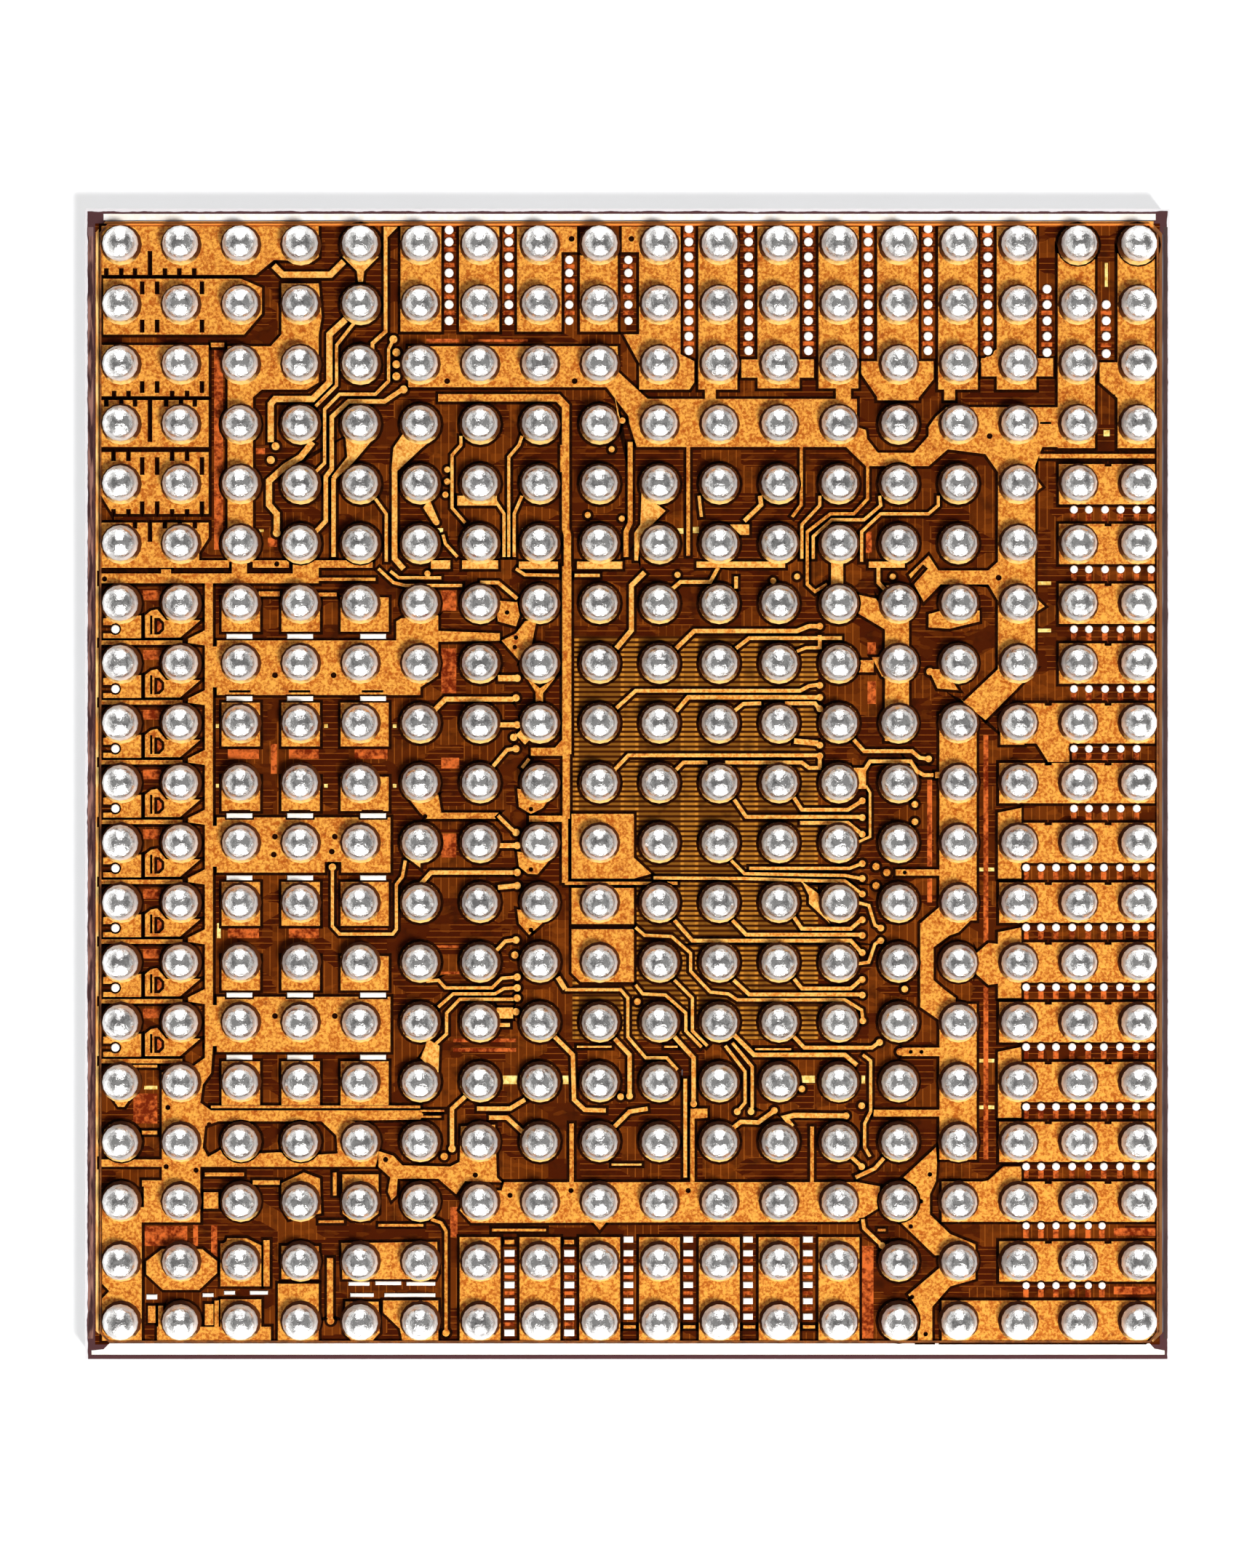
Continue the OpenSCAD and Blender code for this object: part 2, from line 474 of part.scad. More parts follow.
module center_lines() {
    lands([
        [8, 6], [10, 6], [11, 6], [9, 7], [10, 7], [11, 7], [12, 7], [8, 8], [9, 8],
        [10, 8], [11, 8], [12, 8], [8, 9], [9, 9], [10, 9], [11, 9], [12, 9], [13, 9], [9, 10], [10, 10],
        [11, 10], [12, 10], [13, 10], [9, 11], [10, 11], [11, 11], [12, 11], [13, 11], [9, 12], [10, 12],
        [11, 12], [12, 12], [13, 12], [8, 13], [9, 13], [10, 13], [11, 13], [12, 13], [13, 13]
    ]);
    area([[11.38, 10.65], [11.65, 10.85], [11.72, 11.15], [11.85, 11.35], [11.5, 11.02], [11.5, 10.88]]);
    area([[12.25, 8.75], [12.45, 8.75], [12.45, 9.1], [12.25, 9.1]]);
    traces([
        [0.07, [[9.28, 6.75], [9.58, 6.46], [11.3, 6.46], [11.5, 6.38], [11.66, 6.38]]],
        [0.06, [[10.28, 6.75], [10.5, 6.58], [12.05, 6.58]]],
        [0.05, [[11.3, 6.8], [11.45, 6.74], [11.68, 6.74]]],
        [0.06, [[8.28, 7.75], [8.6, 7.46], [11.35, 7.46], [11.5, 7.38], [11.65, 7.36]]],
        [0.07, [[9.28, 7.8], [9.48, 7.57], [11.65, 7.57]]],
        [0.06, [[10.25, 7.8], [10.4, 7.68], [10.7, 7.67]]],
        [0.06, [[11.1, 7.67], [11.6, 7.67], [11.66, 7.75]]],
        [0.06, [[8.25, 8.78], [8.48, 8.54], [11.65, 8.54]]],
        [0.06, [[9.28, 8.78], [9.4, 8.66], [9.8, 8.66]]],
        [0.06, [[10.1, 8.66], [11.38, 8.66], [11.5, 8.75], [11.7, 8.75]]],
        [0.09, [[11.25, 8.3], [11.65, 8.34]]],
        [0.06, [[11.25, 9.25], [11.38, 9.45], [12.15, 9.45], [12.36, 9.32]]],
        [0.06, [[10.25, 9.28], [10.45, 9.57], [12.36, 9.57]]],
        [0.06, [[11.35, 9.67], [12.15, 9.67], [12.36, 9.84]]],
        [0.06, [[12.25, 8.28], [12.42, 8.47], [13.22, 8.47], [13.35, 8.58], [13.48, 8.6]]],
        [0.06, [[12.42, 8.8], [12.52, 8.64], [13.2, 8.64], [13.3, 8.8], [13.42, 8.87], [13.58, 8.87]]],
        [0.04, [[12.45, 9.05], [12.52, 9.16], [12.52, 9.9], [12.3, 10]]],
        [0.05, [[10.5, 10.43], [12.18, 10.43], [12.36, 10.36]]],
        [0.05, [[10.2, 10.3], [10.42, 10.52], [12.1, 10.55], [12.36, 10.6]]],
        [0.05, [[8.9, 10.59], [10.4, 10.6], [11.7, 10.64], [12.1, 10.64], [12.36, 10.84]]],
        [0.05, [[12.3, 11], [12.5, 11.05], [12.6, 11.38], [12.7, 11.43]]],
        [0.05, [[12.3, 12.03], [12.5, 12], [12.6, 11.7], [12.7, 11.63]]],
        [0.06, [[11.25, 11.25], [11.38, 11.44], [12.2, 11.44], [12.36, 11.3]]],
        [0.06, [[10.22, 11.3], [10.45, 11.54], [12.36, 11.54]]],
        [0.06, [[9.25, 11.3], [9.55, 11.64], [12.2, 11.64], [12.36, 11.82]]],
        [0.05, [[8.6, 11.42], [8.75, 11.55], [9.2, 11.57], [9.52, 11.85], [9.52, 12.15], [9.85, 12.5],
            [10.15, 12.53], [10.3, 12.63], [12.1, 12.63], [12.38, 12.8], [12.4, 12.96]]],
        [0.06, [[11.25, 12.28], [11.38, 12.44], [12.2, 12.44], [12.36, 12.3]]],
        [0.06, [[10.24, 12.3], [10.5, 12.54], [12.36, 12.54]]],
        [0.05, [[8.6, 12.38], [8.72, 12.53], [9.1, 12.55], [9.44, 12.85], [9.44, 13.15], [9.7, 13.42]]],
        [0.05, [[9.25, 12.3], [9.55, 12.6], [9.55, 13.15], [9.8, 13.4]]],
        [0.07, [[8.25, 13.28], [8.5, 13.55], [8.5, 14.22]]],
        [0.07, [[9.25, 13.25], [9.57, 13.6], [9.57, 14.35]]],
        [0.05, [[10.1, 13.4], [10.43, 13.83], [10.43, 14.35], [10.32, 14.48]]],
        [0.05, [[10.22, 13.35], [10.55, 13.75], [10.55, 14.45]]],
        [0.06, [[11.25, 13.25], [11.42, 13.43], [12.55, 13.43], [12.66, 13.35]]],
        [0.07, [[10.25, 13.22], [10.58, 13.55], [12.1, 13.55], [12.3, 13.72]]],
        [0.05, [[12.4, 13.55], [12.53, 13.65], [12.53, 14.5], [12.43, 14.7], [12.43, 15.1], [12.52, 15.25]]],
        [0.06, [[9.43, 13.95], [9.43, 15.6]]]
    ]);
    bars([
        [11.65, 6.53, 11.71, 6.76], [11.65, 8.56, 11.71, 8.75], [7.62, 13.4, 8.2, 13.43],
        [9.08, 13.4, 9.3, 13.43], [10.6, 13.44, 11.2, 13.47]
    ]);
    drops([
        [11.68, 6.38], [11.68, 7.37], [11.68, 7.57], [11.68, 7.76], [11.68, 8.37], [11.68, 8.55],
        [12.39, 9.3], [12.39, 9.58], [12.39, 9.86], [13.5, 8.6], [13.27, 9.36], [13.27, 9.65], [12.39, 10.35],
        [12.39, 10.6], [12.39, 10.86], [12.7, 11.43], [12.7, 11.64], [12.39, 11.29], [12.39, 11.55],
        [12.39, 11.84], [12.39, 12.29], [12.39, 12.55], [12.4, 12.98], [13.1, 12.45], [8.5, 14.24],
        [9.57, 14.37], [10.3, 14.5], [10.53, 14.5], [12.68, 13.34], [8.63, 12.66], [11.38, 14.12],
        [8.35, 14.25]
    ], 0.055);
}

// ---- right: strips of columns 13 and 14, the hooked pour, then the ladder of pours by the edge ----

module pours_right_strips_shapes() {
    bars([
        [12.77, 5.7, 13.17, 8.3], [12.3, 6.95, 12.58, 7.15], [13.68, 7.85, 14.3, 11.3],
        [13.4, 8.82, 13.75, 8.92], [12.95, 10.45, 13.75, 10.55], [13.68, 12.7, 14.3, 15.3],
        [13.05, 13.43, 13.75, 13.57], [12.58, 14.47, 13.7, 14.58]
    ]);
    area([[12.3, 5.85], [12.62, 5.92], [12.85, 6.3], [12.8, 6.45], [12.3, 6.15]]);
    area([[13.68, 11.08], [13.36, 11.35], [13.36, 12.75], [13.68, 12.97], [13.95, 12.75], [13.95, 12.6],
        [13.75, 12.45], [13.58, 12.3], [13.58, 11.75], [13.85, 11.55], [14, 11.5], [14.2, 11.3]]);
    area([[14.66, 7.1], [15.28, 7.1], [14.95, 7.45], [14.45, 7.95], [14.08, 7.65]]);
    area([[13.5, 7.1], [13.65, 7.42], [14, 7.45], [13.75, 7.1]]);
    area([[12.55, 6.9], [12.72, 7.22], [12.85, 7.22], [12.85, 6.9]]);
    lands([[14, 7], [13, 6], [13, 7], [13, 8], [12, 14], [13, 14]], 0.33);
    lands([[14, 8], [14, 9], [14, 10], [14, 11], [14, 13], [14, 14], [14, 15]], 0.33);
    drops([[12.8, 10.5], [13.02, 13.5], [13.52, 7.14], [12.62, 10.4], [12.62, 10.72]], 0.06);
}

module pours_right_strips_slots() {
    drops([[13.1, 10.5], [13.2, 13.5], [13.38, 13.5]], 0.035);
}

module bank_pour(r, u0) {
    difference() {
        bar(u0, r - 0.33, 17.28, r + 0.34);
        slots([15.5, 16.5], r - 0.34, 0.12, 0.1);
    }
}

module pours_right_bank_shapes() {
    for (r = [4 : 7]) {
        bank_pour(r, 15.68);
    }
    for (r = [9, 11, 13, 15]) {
        bank_pour(r, 14.68);
    }
    bank_pour(8, 14.95);
    area([[14.7, 7.88], [14.9, 7.7], [15.1, 7.7], [15.1, 8.36], [14.7, 8.36]]);
    for (r = [10, 12, 14]) {
        bank_pour(r, 14.66);
        area([[14.66, r - 0.3], [14.66, r - 0.5], [15.05, r - 0.58], [15.05, r + 0.6], [14.66, r + 0.6]]);
    }
    area([[14.3, 11.85], [14.5, 11.68], [14.7, 11.7], [14.7, 12.35], [14.5, 12.38], [14.3, 12.2]]);
    area([[15.28, 8.3], [15.5, 8.65], [15.85, 8.65], [15.85, 8.3]]);
        lands([[14, 12]], 0.33);
    bank_pour(16, 13.72);
    area([[14.25, 15.7], [14.5, 15.65], [14.75, 15.42], [15.05, 15.42], [15.05, 15.8], [14.25, 15.8]]);
    bank_pour(17, 14.68);
    area([[13.72, 17.66], [17.28, 17.66], [17.28, 18.2], [17.12, 18.35], [13.72, 18.35]]);
    area([[13.7, 16.9], [13.7, 17.1], [13.16, 17.56], [13.32, 17.8], [13.32, 18.35], [13.56, 18.35],
        [13.56, 17.76], [13.86, 17.42], [14.28, 17.3], [14.28, 16.72], [13.86, 16.55], [13.52, 16.22],
        [13.52, 15.88], [13.62, 15.66], [13.64, 15.36], [13.62, 15.1], [13.08, 15.6], [13.3, 15.76],
        [13.34, 16.05], [13.04, 16.36], [13.6, 16.9]]);
    lands([[14, 17]], 0.33);
}

module pours_right_bank_slots() {
    drops([[13.37, 16], [13.2, 16.42], [13.22, 17.6], [13.45, 18.22], [13.52, 15.55]], 0.04);
}

// ---- near left: the pour of columns 0 and 1, band and corner shapes ----

module pours_near_left_shapes() {
    area([
        [0.68, 13.85], [1.18, 13.76], [1.4, 13.6], [1.4, 13.4], [1.53, 13.4], [1.5, 13.85], [1.36, 14.05],
        [1.32, 14.35], [1.5, 14.48], [5, 14.48], [5.05, 14.55], [5, 14.63], [3.83, 14.65], [4.2, 14.75],
        [4.32, 15], [4.28, 15.3], [4.25, 15.42], [-0.36, 15.42], [-0.36, 15.3], [0.68, 15.3]
    ]);
    bars([
        [5, 14.47, 5.4, 14.5], [5, 14.57, 5.35, 14.6], [1.5, 14.4, 5, 14.44], [0.35, 14.82, 0.6, 14.88],
        [0.35, 15.65, 1.32, 15.75], [0.68, 15.4, 1.32, 15.75], [0.38, 15.7, 1.32, 16.35],
        [-0.32, 16.1, 0.4, 16.35], [-0.32, 16.3, 0.34, 18.33], [1.38, 15.85, 1.62, 16.12],
        [1.4, 15.52, 2.05, 15.58], [2.2, 15.65, 2.65, 15.72], [2.62, 17.38, 3.3, 18.33],
        [0.45, 17.75, 0.57, 18.03], [1.4, 17.72, 1.54, 18.07], [0.6, 18.1, 2.5, 18.33],
        [1.66, 16.62, 2.34, 17.42], [1.66, 17.64, 2.34, 18.33], [3.44, 16.95, 3.54, 17.95],
        [0.62, 17.75, 0.7, 18.15], [1.56, 17.66, 1.63, 18.15], [2.38, 16.65, 2.48, 17.42],
        [2.68, 16.75, 3.3, 17.3]
    ]);
    area([[3.72, 14.95], [3.84, 14.65], [3.3, 14.65], [3.4, 14.92]]);
    area([
        [0.42, 17], [0.68, 16.8], [1.35, 16.8], [1.6, 17], [1.6, 17.2], [1.3, 17.48], [0.7, 17.48],
        [0.42, 17.22]
    ]);
    area([[3.05, 15.52], [3.32, 15.62], [3.34, 16.2], [2.8, 16.3], [2.68, 16.1], [2.68, 15.7]]);
    bar(3.54, 15.52, 3.6, 15.9);
    area([[3.7, 15.55], [4.3, 15.55], [4.3, 16.2], [4.15, 16.32], [3.85, 16.32], [3.7, 16.2]]);
    area([[3.75, 17.68], [4.3, 17.68], [4.32, 18.2], [4.2, 18.33], [3.85, 18.33], [3.73, 18.2]]);
    area([[4.38, 17.66], [5.3, 17.66], [5.3, 18.33], [4.7, 18.33], [4.66, 18.13], [4.38, 17.86]]);
    area([[3.68, 16.7], [5.28, 16.68], [5.3, 17.2], [5.25, 17.3], [3.7, 17.3]]);
    area([[4.3, 15.16], [4.55, 15.24], [4.7, 15.4], [5.5, 15.42], [5.66, 15.34], [5.68, 14.75], [6.25, 14.72],
        [6.28, 15.6], [6.36, 15.68], [5.75, 15.66], [5.6, 15.88], [5.3, 15.62], [4.62, 15.62], [4.6, 15.9],
        [4.52, 15.98], [4.46, 15.84], [4.5, 15.6], [4.3, 15.42]]);
    lands([[0, 14]], 0.3);
    lands([[0, 16], [0, 17], [0, 18], [1, 18], [2, 16], [3, 17], [3, 18]], 0.33);
    lands([[6, 15], [4, 15]], 0.33);
    area([[-0.2, 14.2], [0.2, 14.2], [0.05, 14.42], [-0.05, 14.42]]);
    traces([
        [0.05, [[5.18, 16.3], [5.35, 16.36], [5.43, 16.5], [5.43, 18.15]]],
        [0.04, [[3.3, 16.34], [3.72, 16.34]]],
        [0.04, [[4.3, 16.4], [5.05, 16.4]]]
    ]);
    lands([[5, 16]], 0.33);
    drops([[5.43, 18.2], [3.5, 18], [5.4, 15.25]], 0.06);
}

module pours_near_left_slots() {
    drops([
        [0.78, 14.43], [1.47, 14.72], [0.75, 15.42], [1.25, 15.48], [0.62, 15.2], [4.42, 15.3], [5.92, 15.56]
    ], 0.045);
    area([[-0.34, 17.35], [-0.2, 17.5], [-0.34, 17.65]]);
    area([[1.4, 14.74], [1.62, 14.66], [3.35, 14.66], [3.6, 14.9], [3.62, 15.2], [3.3, 15.22], [2.95, 15.28],
        [2.65, 15.18], [2.3, 15.2], [2, 15.28], [1.7, 15.12], [1.45, 15.26], [1.36, 15.1]]);
    slots([2.42], 17.88, 0.05, 0.36);
    area([[2.1, 16.62], [2.36, 16.62], [2.36, 16.75]]);
    drops([[1.68, 16.62]], 0.09);
}

// ---- near middle: the long pour of row 16 and the bank of pours towards the near edge ----

module pours_near_middle_shapes() {
    area([
        [6.4, 15.68], [12.3, 15.68], [12.68, 15.75], [12.68, 16.1], [12.3, 16.34], [5.85, 16.36],
        [5.66, 16.15], [5.8, 15.82], [6.36, 15.82]
    ]);
    area([[7.9, 16.36], [8.1, 16.36], [8, 16.48]]);
    bars([[6.2, 16.46, 7.1, 16.5], [12.65, 16.46, 12.78, 16.5]]);
    traces([
        [0.07, [[7.53, 14.7], [7.53, 15.7]]],
        [0.07, [[9.55, 14.6], [9.55, 15.7]]],
        [0.06, [[11.55, 14.75], [11.55, 15.7]]]
    ]);
    area([[9.52, 14.45], [9.8, 14.45], [9.8, 14.6], [9.52, 14.62]]);
}

module pours_near_middle_slots() {
    drops([[7.52, 15.82], [9.48, 15.82], [6.5, 15.9], [5.95, 16.28]], 0.045);
}

module near_lines() {
    lands([
        [8, 14], [10, 14], [11, 14], [8, 15], [9, 15], [10, 15], [11, 15], [12, 15],
        [13, 15], [13, 16], [13, 17], [13, 18], [5, 15], [0, 15], [2, 15], [3, 15], [16, 0], [17, 0]
    ]);
    traces([
        [0.07, [[8.25, 14.75], [8.5, 14.5], [8.8, 14.45]]],
        [0.07, [[10.22, 14.78], [10.36, 14.67], [10.65, 14.68], [10.9, 14.5]]],
        [0.08, [[11.22, 14.75], [11.1, 14.6], [11.25, 14.56], [12.1, 14.57]]],
        [0.06, [[12.2, 15.25], [12.36, 15.4]]],
        [0.06, [[12.28, 15.6], [12.6, 15.45], [12.75, 15.28]]],
        [0.06, [[12.4, 16.3], [12.42, 16.45], [12.7, 16.72]]]
    ]);
    bar(8.2, 15.37, 8.7, 15.4);
    drops([[10.92, 14.48], [12.12, 14.57], [12.38, 14.4], [12.38, 15.42], [12.72, 16.74]], 0.055);
}

module pours_near_bank_shapes() {
    for (u = [6 : 12]) {
        bar(u - 0.34, 16.6, u + 0.34, 18.33);
    }
    slots([8.5, 9.5, 10.5, 11.5], 18.1, 0.2, 0.05);
    slots([6.49, 7.49], 16.68, 0.16, 0.07);
}

// ---- via rows ----

// Columns of bright vias between the far pours: u, radius and the v of each via.
far_via_columns = concat(
    [for (u = [5.48, 6.48]) [u, 0.075, [-0.25, -0.05, 0.2, 0.47, 0.73, 1, 1.27]]],
    [for (u = [7.49, 8.48]) [u, 0.07, [0.25, 0.47, 0.73, 1, 1.27]]],
    [for (u = [9.5 : 14.5]) [u - 0.01, 0.075, [-0.27, -0.05, 0.2, 0.47, 0.73, 1, 1.27, 1.53, 1.77]]],
    [[15.48, 0.075, [0.74, 1, 1.27, 1.53, 1.8]], [16.47, 0.075, [1, 1.27, 1.53, 1.82]]]
);

// Rows of bright vias between the right pours: v, radius and the u of each via.
right_via_rows = concat(
    [for (r = [4 : 7]) [r + 0.43, 0.065, [15.93, 16.18, 16.45, 16.71, 16.98, 17.22]]],
    [for (r = [8, 9]) [r + 0.43, 0.065, [15.93, 16.18, 16.45, 16.71, 16.98]]],
    [for (r = [10 : 15]) [r + 0.42, 0.065, [15.13, 15.38, 15.63, 15.9, 16.17, 16.43, 16.7, 16.97, 17.22]]],
    [for (r = [16, 17]) [r + 0.41, 0.06, [15.13, 15.38, 15.63, 15.9, 16.17, 16.4]]]
);

module via_dots_far_shapes() {
    for (c = far_via_columns) {
        for (v = c[2]) {
            disc(c[0], v, c[1], 12);
        }
    }
}

module via_dots_right_shapes() {
    for (r = right_via_rows) {
        for (u = r[2]) {
            disc(u, r[0], r[1], 12);
        }
    }
}

module via_bars_left_shapes() {
    for (v = [6.55, 7.59, 9.55, 10.59, 12.55, 13.59]) {
        slots([1.975, 2.99, 4.21], v, 0.43, 0.08);
    }
    bars([
        [4.25, 17.34, 4.68, 17.4], [3.8, 17.35, 4.15, 17.41], [4.77, 17.35, 5.25, 17.41],
        [3.83, 17.54, 4.22, 17.6], [4.4, 17.54, 5.25, 17.6], [0.42, 17.56, 0.6, 17.64],
        [1.36, 17.54, 1.54, 17.6], [1.72, 17.5, 1.9, 17.56], [2.15, 17.5, 2.45, 17.56]
    ]);
    for (r = [6 : 13]) {
        disc(-0.1, r + 0.43, 0.07, 12);
    }
}

module via_ovals_near_shapes() {
    for (u = [6.49, 7.49]) {
        for (v = [16.87, 17.13, 17.4, 17.68, 17.93, 18.2]) {
            bar(u - 0.085, v - 0.055, u + 0.085, v + 0.055);
        }
    }
    for (u = [8.48, 9.48, 10.48, 11.48]) {
        for (v = [16.64, 16.87, 17.13, 17.4, 17.67, 17.93]) {
            bar(u - 0.08, v - 0.05, u + 0.08, v + 0.05);
        }
    }
}

module via_shapes() {
    via_dots_far_shapes();
    via_dots_right_shapes();
    via_bars_left_shapes();
    via_ovals_near_shapes();
}

// ---- metal of the die itself, seen between the wiring ----

// A short rung half-way between each two neighbours in a column of vias.
module rungs(u, vs) {
    for (i = [1 : len(vs) - 1]) {
        slots([u], (vs[i - 1] + vs[i]) / 2, 0.18, 0.07);
    }
}

module strap_shapes() {
    bars([
        [1.55, 1.75, 1.7, 5.1], [2.25, 3.4, 2.4, 3.5], [2.45, 4.9, 2.6, 5.05], [5.1, 1.57, 5.65, 1.63],
        [5.8, 1.58, 6.8, 1.62], [4.35, 4.75, 4.38, 5.2], [12.42, 4.8, 12.55, 5.15], [5.35, 6.75, 5.6, 7.5],
        [5.35, 5.78, 5.6, 6.12], [5.35, 8.58, 5.65, 8.76], [5.35, 9.85, 5.6, 10.25],
        [5.2, 11.72, 5.65, 11.76], [5.35, 12.16, 5.65, 12.2], [5.55, 13.28, 6.6, 13.34],
        [5.55, 13.44, 6.6, 13.5], [2.5, 8.35, 2.6, 8.85],
        [13.48, 8.9, 13.56, 11], [14.42, 8.2, 14.5, 15.3], [12.48, 6.65, 12.62, 6.85],
        [12.48, 7.3, 12.62, 7.68], [0.35, 16.42, 1.1, 16.75], [1.2, 16.4, 1.28, 16.78],
        [1.5, 16.4, 1.6, 16.95], [12.38, 16.75, 12.58, 18.3], [5.5, 16.1, 5.62, 16.6],
        [0.2, 14.2, 0.6, 14.7], [4.36, 12, 4.42, 12.2], [16.6, 16.45, 17.3, 16.58], [16.6, 17.43, 17.3, 17.56]
    ]);
    for (r = [6 : 13]) {
        bars([[0.36, r - 0.22, 0.66, r - 0.06], [0.57, r + 0.27, 0.67, r + 0.49]]);
    }
    for (r = [8, 11]) {
        bars([[1.78, r + 0.44, 2.3, r + 0.6], [2.8, r + 0.44, 3.3, r + 0.6], [3.9, r + 0.44, 4.45, r + 0.6]]);
    }
    for (c = far_via_columns) {
        rungs(c[0], c[2]);
    }
    for (u = [6.49, 7.49, 8.48, 9.48, 10.48, 11.48]) {
        for (v = [17, 17.27, 17.54, 17.8, 18.06]) {
            bar(u - 0.08, v - 0.03, u + 0.08, v + 0.03);
        }
    }
    for (r = right_via_rows) {
        slots(r[2], r[0] + 0.14, 0.09, 0.14);
    }
}

module mark_shapes() {
    bars([
        [5.15, 4.74, 5.38, 4.82], [6.7, 4.74, 6.9, 4.8], [8.36, 4.74, 8.42, 4.83], [9.3, 4.74, 9.42, 4.83],
        [9.53, 4.72, 9.66, 4.82], [15.3, 5.63, 15.55, 5.69], [15.3, 6.42, 15.55, 6.48],
        [14.33, 10.42, 14.6, 10.48], [14.33, 13.62, 14.6, 13.68], [14.33, 14.4, 14.6, 14.46],
        [6.38, 13.9, 6.62, 14.04], [7.38, 13.9, 7.5, 14.04], [9.37, 13.8, 9.39, 13.9],
        [11.38, 13.9, 11.6, 14.02], [12.38, 13.9, 12.44, 14.03], [16.43, 3.1, 16.53, 3.2],
        [16.45, 0.3, 16.5, 0.7], [0.38, 14.07, 0.6, 14.13],
        [1.6, 11.35, 1.66, 11.6], [2.3, 4.76, 2.38, 4.8]
    ]);
    slots([-0.18, 0.1, 0.35, 0.55, 0.85, 1.1], 0.535, 0.05, 0.03);
    for (r = [8, 9]) {
        slots([1.6, 3.42, 4.57], r + 0.05, 0.06, 0.06);
    }
}

module guard_shapes() {
    bars([[-0.43, -0.18, -0.38, 18.15], [17.36, -0.12, 17.41, 18.18], [-0.27, -0.395, 17.27, -0.355]]);
    traces([
        [0.05, [[-0.405, -0.15], [-0.405, -0.2], [-0.25, -0.375]]],
        [0.05, [[-0.405, 18.1], [-0.405, 18.16], [-0.22, 18.34]]],
        [0.05, [[17.2, -0.375], [17.385, -0.18], [17.385, -0.1]]],
        [0.05, [[17.385, 18.1], [17.385, 18.2], [17.24, 18.34]]]
    ]);
}

module strip_shapes() {
    bar(-0.3, -0.52, 17.3, -0.415);
    area([
        [-0.5, 18.57], [-0.5, 18.5], [-0.3, 18.48], [-0.2, 18.38], [17.2, 18.38], [17.28, 18.47],
        [17.45, 18.5], [17.45, 18.57]
    ]);
}

module band_shapes() {
    bars([[-0.56, -0.3, -0.47, 18.3], [17.43, -0.3, 17.5, 18.3]]);
}

module sheet_outline() {
    area([
        [-0.36, -0.2], [-0.22, -0.35], [17.2, -0.35], [17.34, -0.2], [17.34, 18.2], [17.2, 18.36],
        [-0.2, 18.36], [-0.36, 18.2]
    ]);
}

module die_rectangle() {
    square([die_x, die_y], center = true);
}

// ---- pieces ----

module backside_film() {
    color(film_black) {
        difference() {
            translate([-die_x / 2, -die_y / 2, 0]) {
                cube([die_x, die_y, film_thickness]);
            }
            translate([die_x / 2 - mark_from_side, die_y / 2 - mark_from_far_edge, -mark_depth]) {
                cylinder(h = 2 * mark_depth, d = mark_diameter, $fn = 48);
            }
        }
    }
}

module silicon_die() {
    color(silicon_grey) {
        translate([-die_x / 2, -die_y / 2, silicon_z]) {
            cube([die_x, die_y, silicon_thickness]);
        }
    }
}

module inlay(shade) {
    color(shade) {
        layer(passivation_z, passivation_thickness) {
            children();
        }
    }
}

module die_power_straps() {
    inlay(strap_red) {
        strap_shapes();
    }
}

module die_marks() {
    inlay(mark_yellow) {
        difference() {
            mark_shapes();
            strap_shapes();
        }
    }
}

module edge_strips() {
    inlay(strip_cream) {
        strip_shapes();
    }
}

module edge_bands() {
    inlay(strap_red) {
        band_shapes();
    }
}

module guard_lines() {
    inlay(copper_orange) {
        guard_shapes();
    }
}

module die_passivation() {
    color(passivation_brown) {
        layer(passivation_z, passivation_thickness) {
            difference() {
                die_rectangle();
                strap_shapes();
                mark_shapes();
                strip_shapes();
                band_shapes();
                guard_shapes();
            }
        }
    }
}

module lower_polyimide() {
    color(polyimide_amber) {
        layer(lower_z, polyimide_thickness) {
            sheet_outline();
        }
    }
}

module pours_far_left() {
    copper() {
        away_from_traces() {
            difference() {
                pours_far_left_shapes();
                pours_far_left_slots();
            }
        }
    }
}

module pours_far_right() {
    copper() {
        away_from_traces() {
            difference() {
                pours_far_right_shapes();
                pours_far_right_slots();
            }
        }
    }
}

module pours_left_cells() {
    copper() {
        away_from_traces() {
            difference() {
                pours_left_cells_shapes();
                pours_left_cells_slots();
            }
        }
    }
}

module pours_left_block() {
    copper() {
        away_from_traces() {
            difference() {
                pours_left_block_shapes();
                pours_left_block_slots();
            }
        }
    }
}

module pours_middle() {
    copper() {
        away_from_traces() {
            difference() {
                pours_middle_shapes();
                pours_middle_slots();
            }
        }
    }
}

module pours_right_strips() {
    copper() {
        away_from_traces() {
            difference() {
                pours_right_strips_shapes();
                pours_right_strips_slots();
            }
        }
    }
}

module pours_right_bank() {
    copper() {
        away_from_traces() {
            difference() {
                pours_right_bank_shapes();
                pours_right_bank_slots();
            }
        }
    }
}

module pours_near_left() {
    copper() {
        away_from_traces() {
            difference() {
                pours_near_left_shapes();
                pours_near_left_slots();
            }
        }
    }
}

module pours_near_middle() {
    copper() {
        away_from_traces() {
            difference() {
                pours_near_middle_shapes();
                pours_near_middle_slots();
            }
        }
    }
}

module pours_near_bank() {
    copper() {
        away_from_traces() {
            pours_near_bank_shapes();
        }
    }
}

module traces_far_left() {
    copper() {
        far_left_lines();
    }
}

module traces_far_right() {
    copper() {
        far_right_lines();
    }
}

module traces_middle_left() {
    copper() {
        middle_left_lines();
    }
}

module traces_center() {
    copper() {
        center_lines();
    }
}

module traces_near() {
    copper() {
        near_lines();
    }
}

module vias() {
    color(via_white) {
        layer(copper_z, copper_thickness) {
            children();
        }
    }
}

module via_dots_far() {
    vias() {
        via_dots_far_shapes();
    }
}

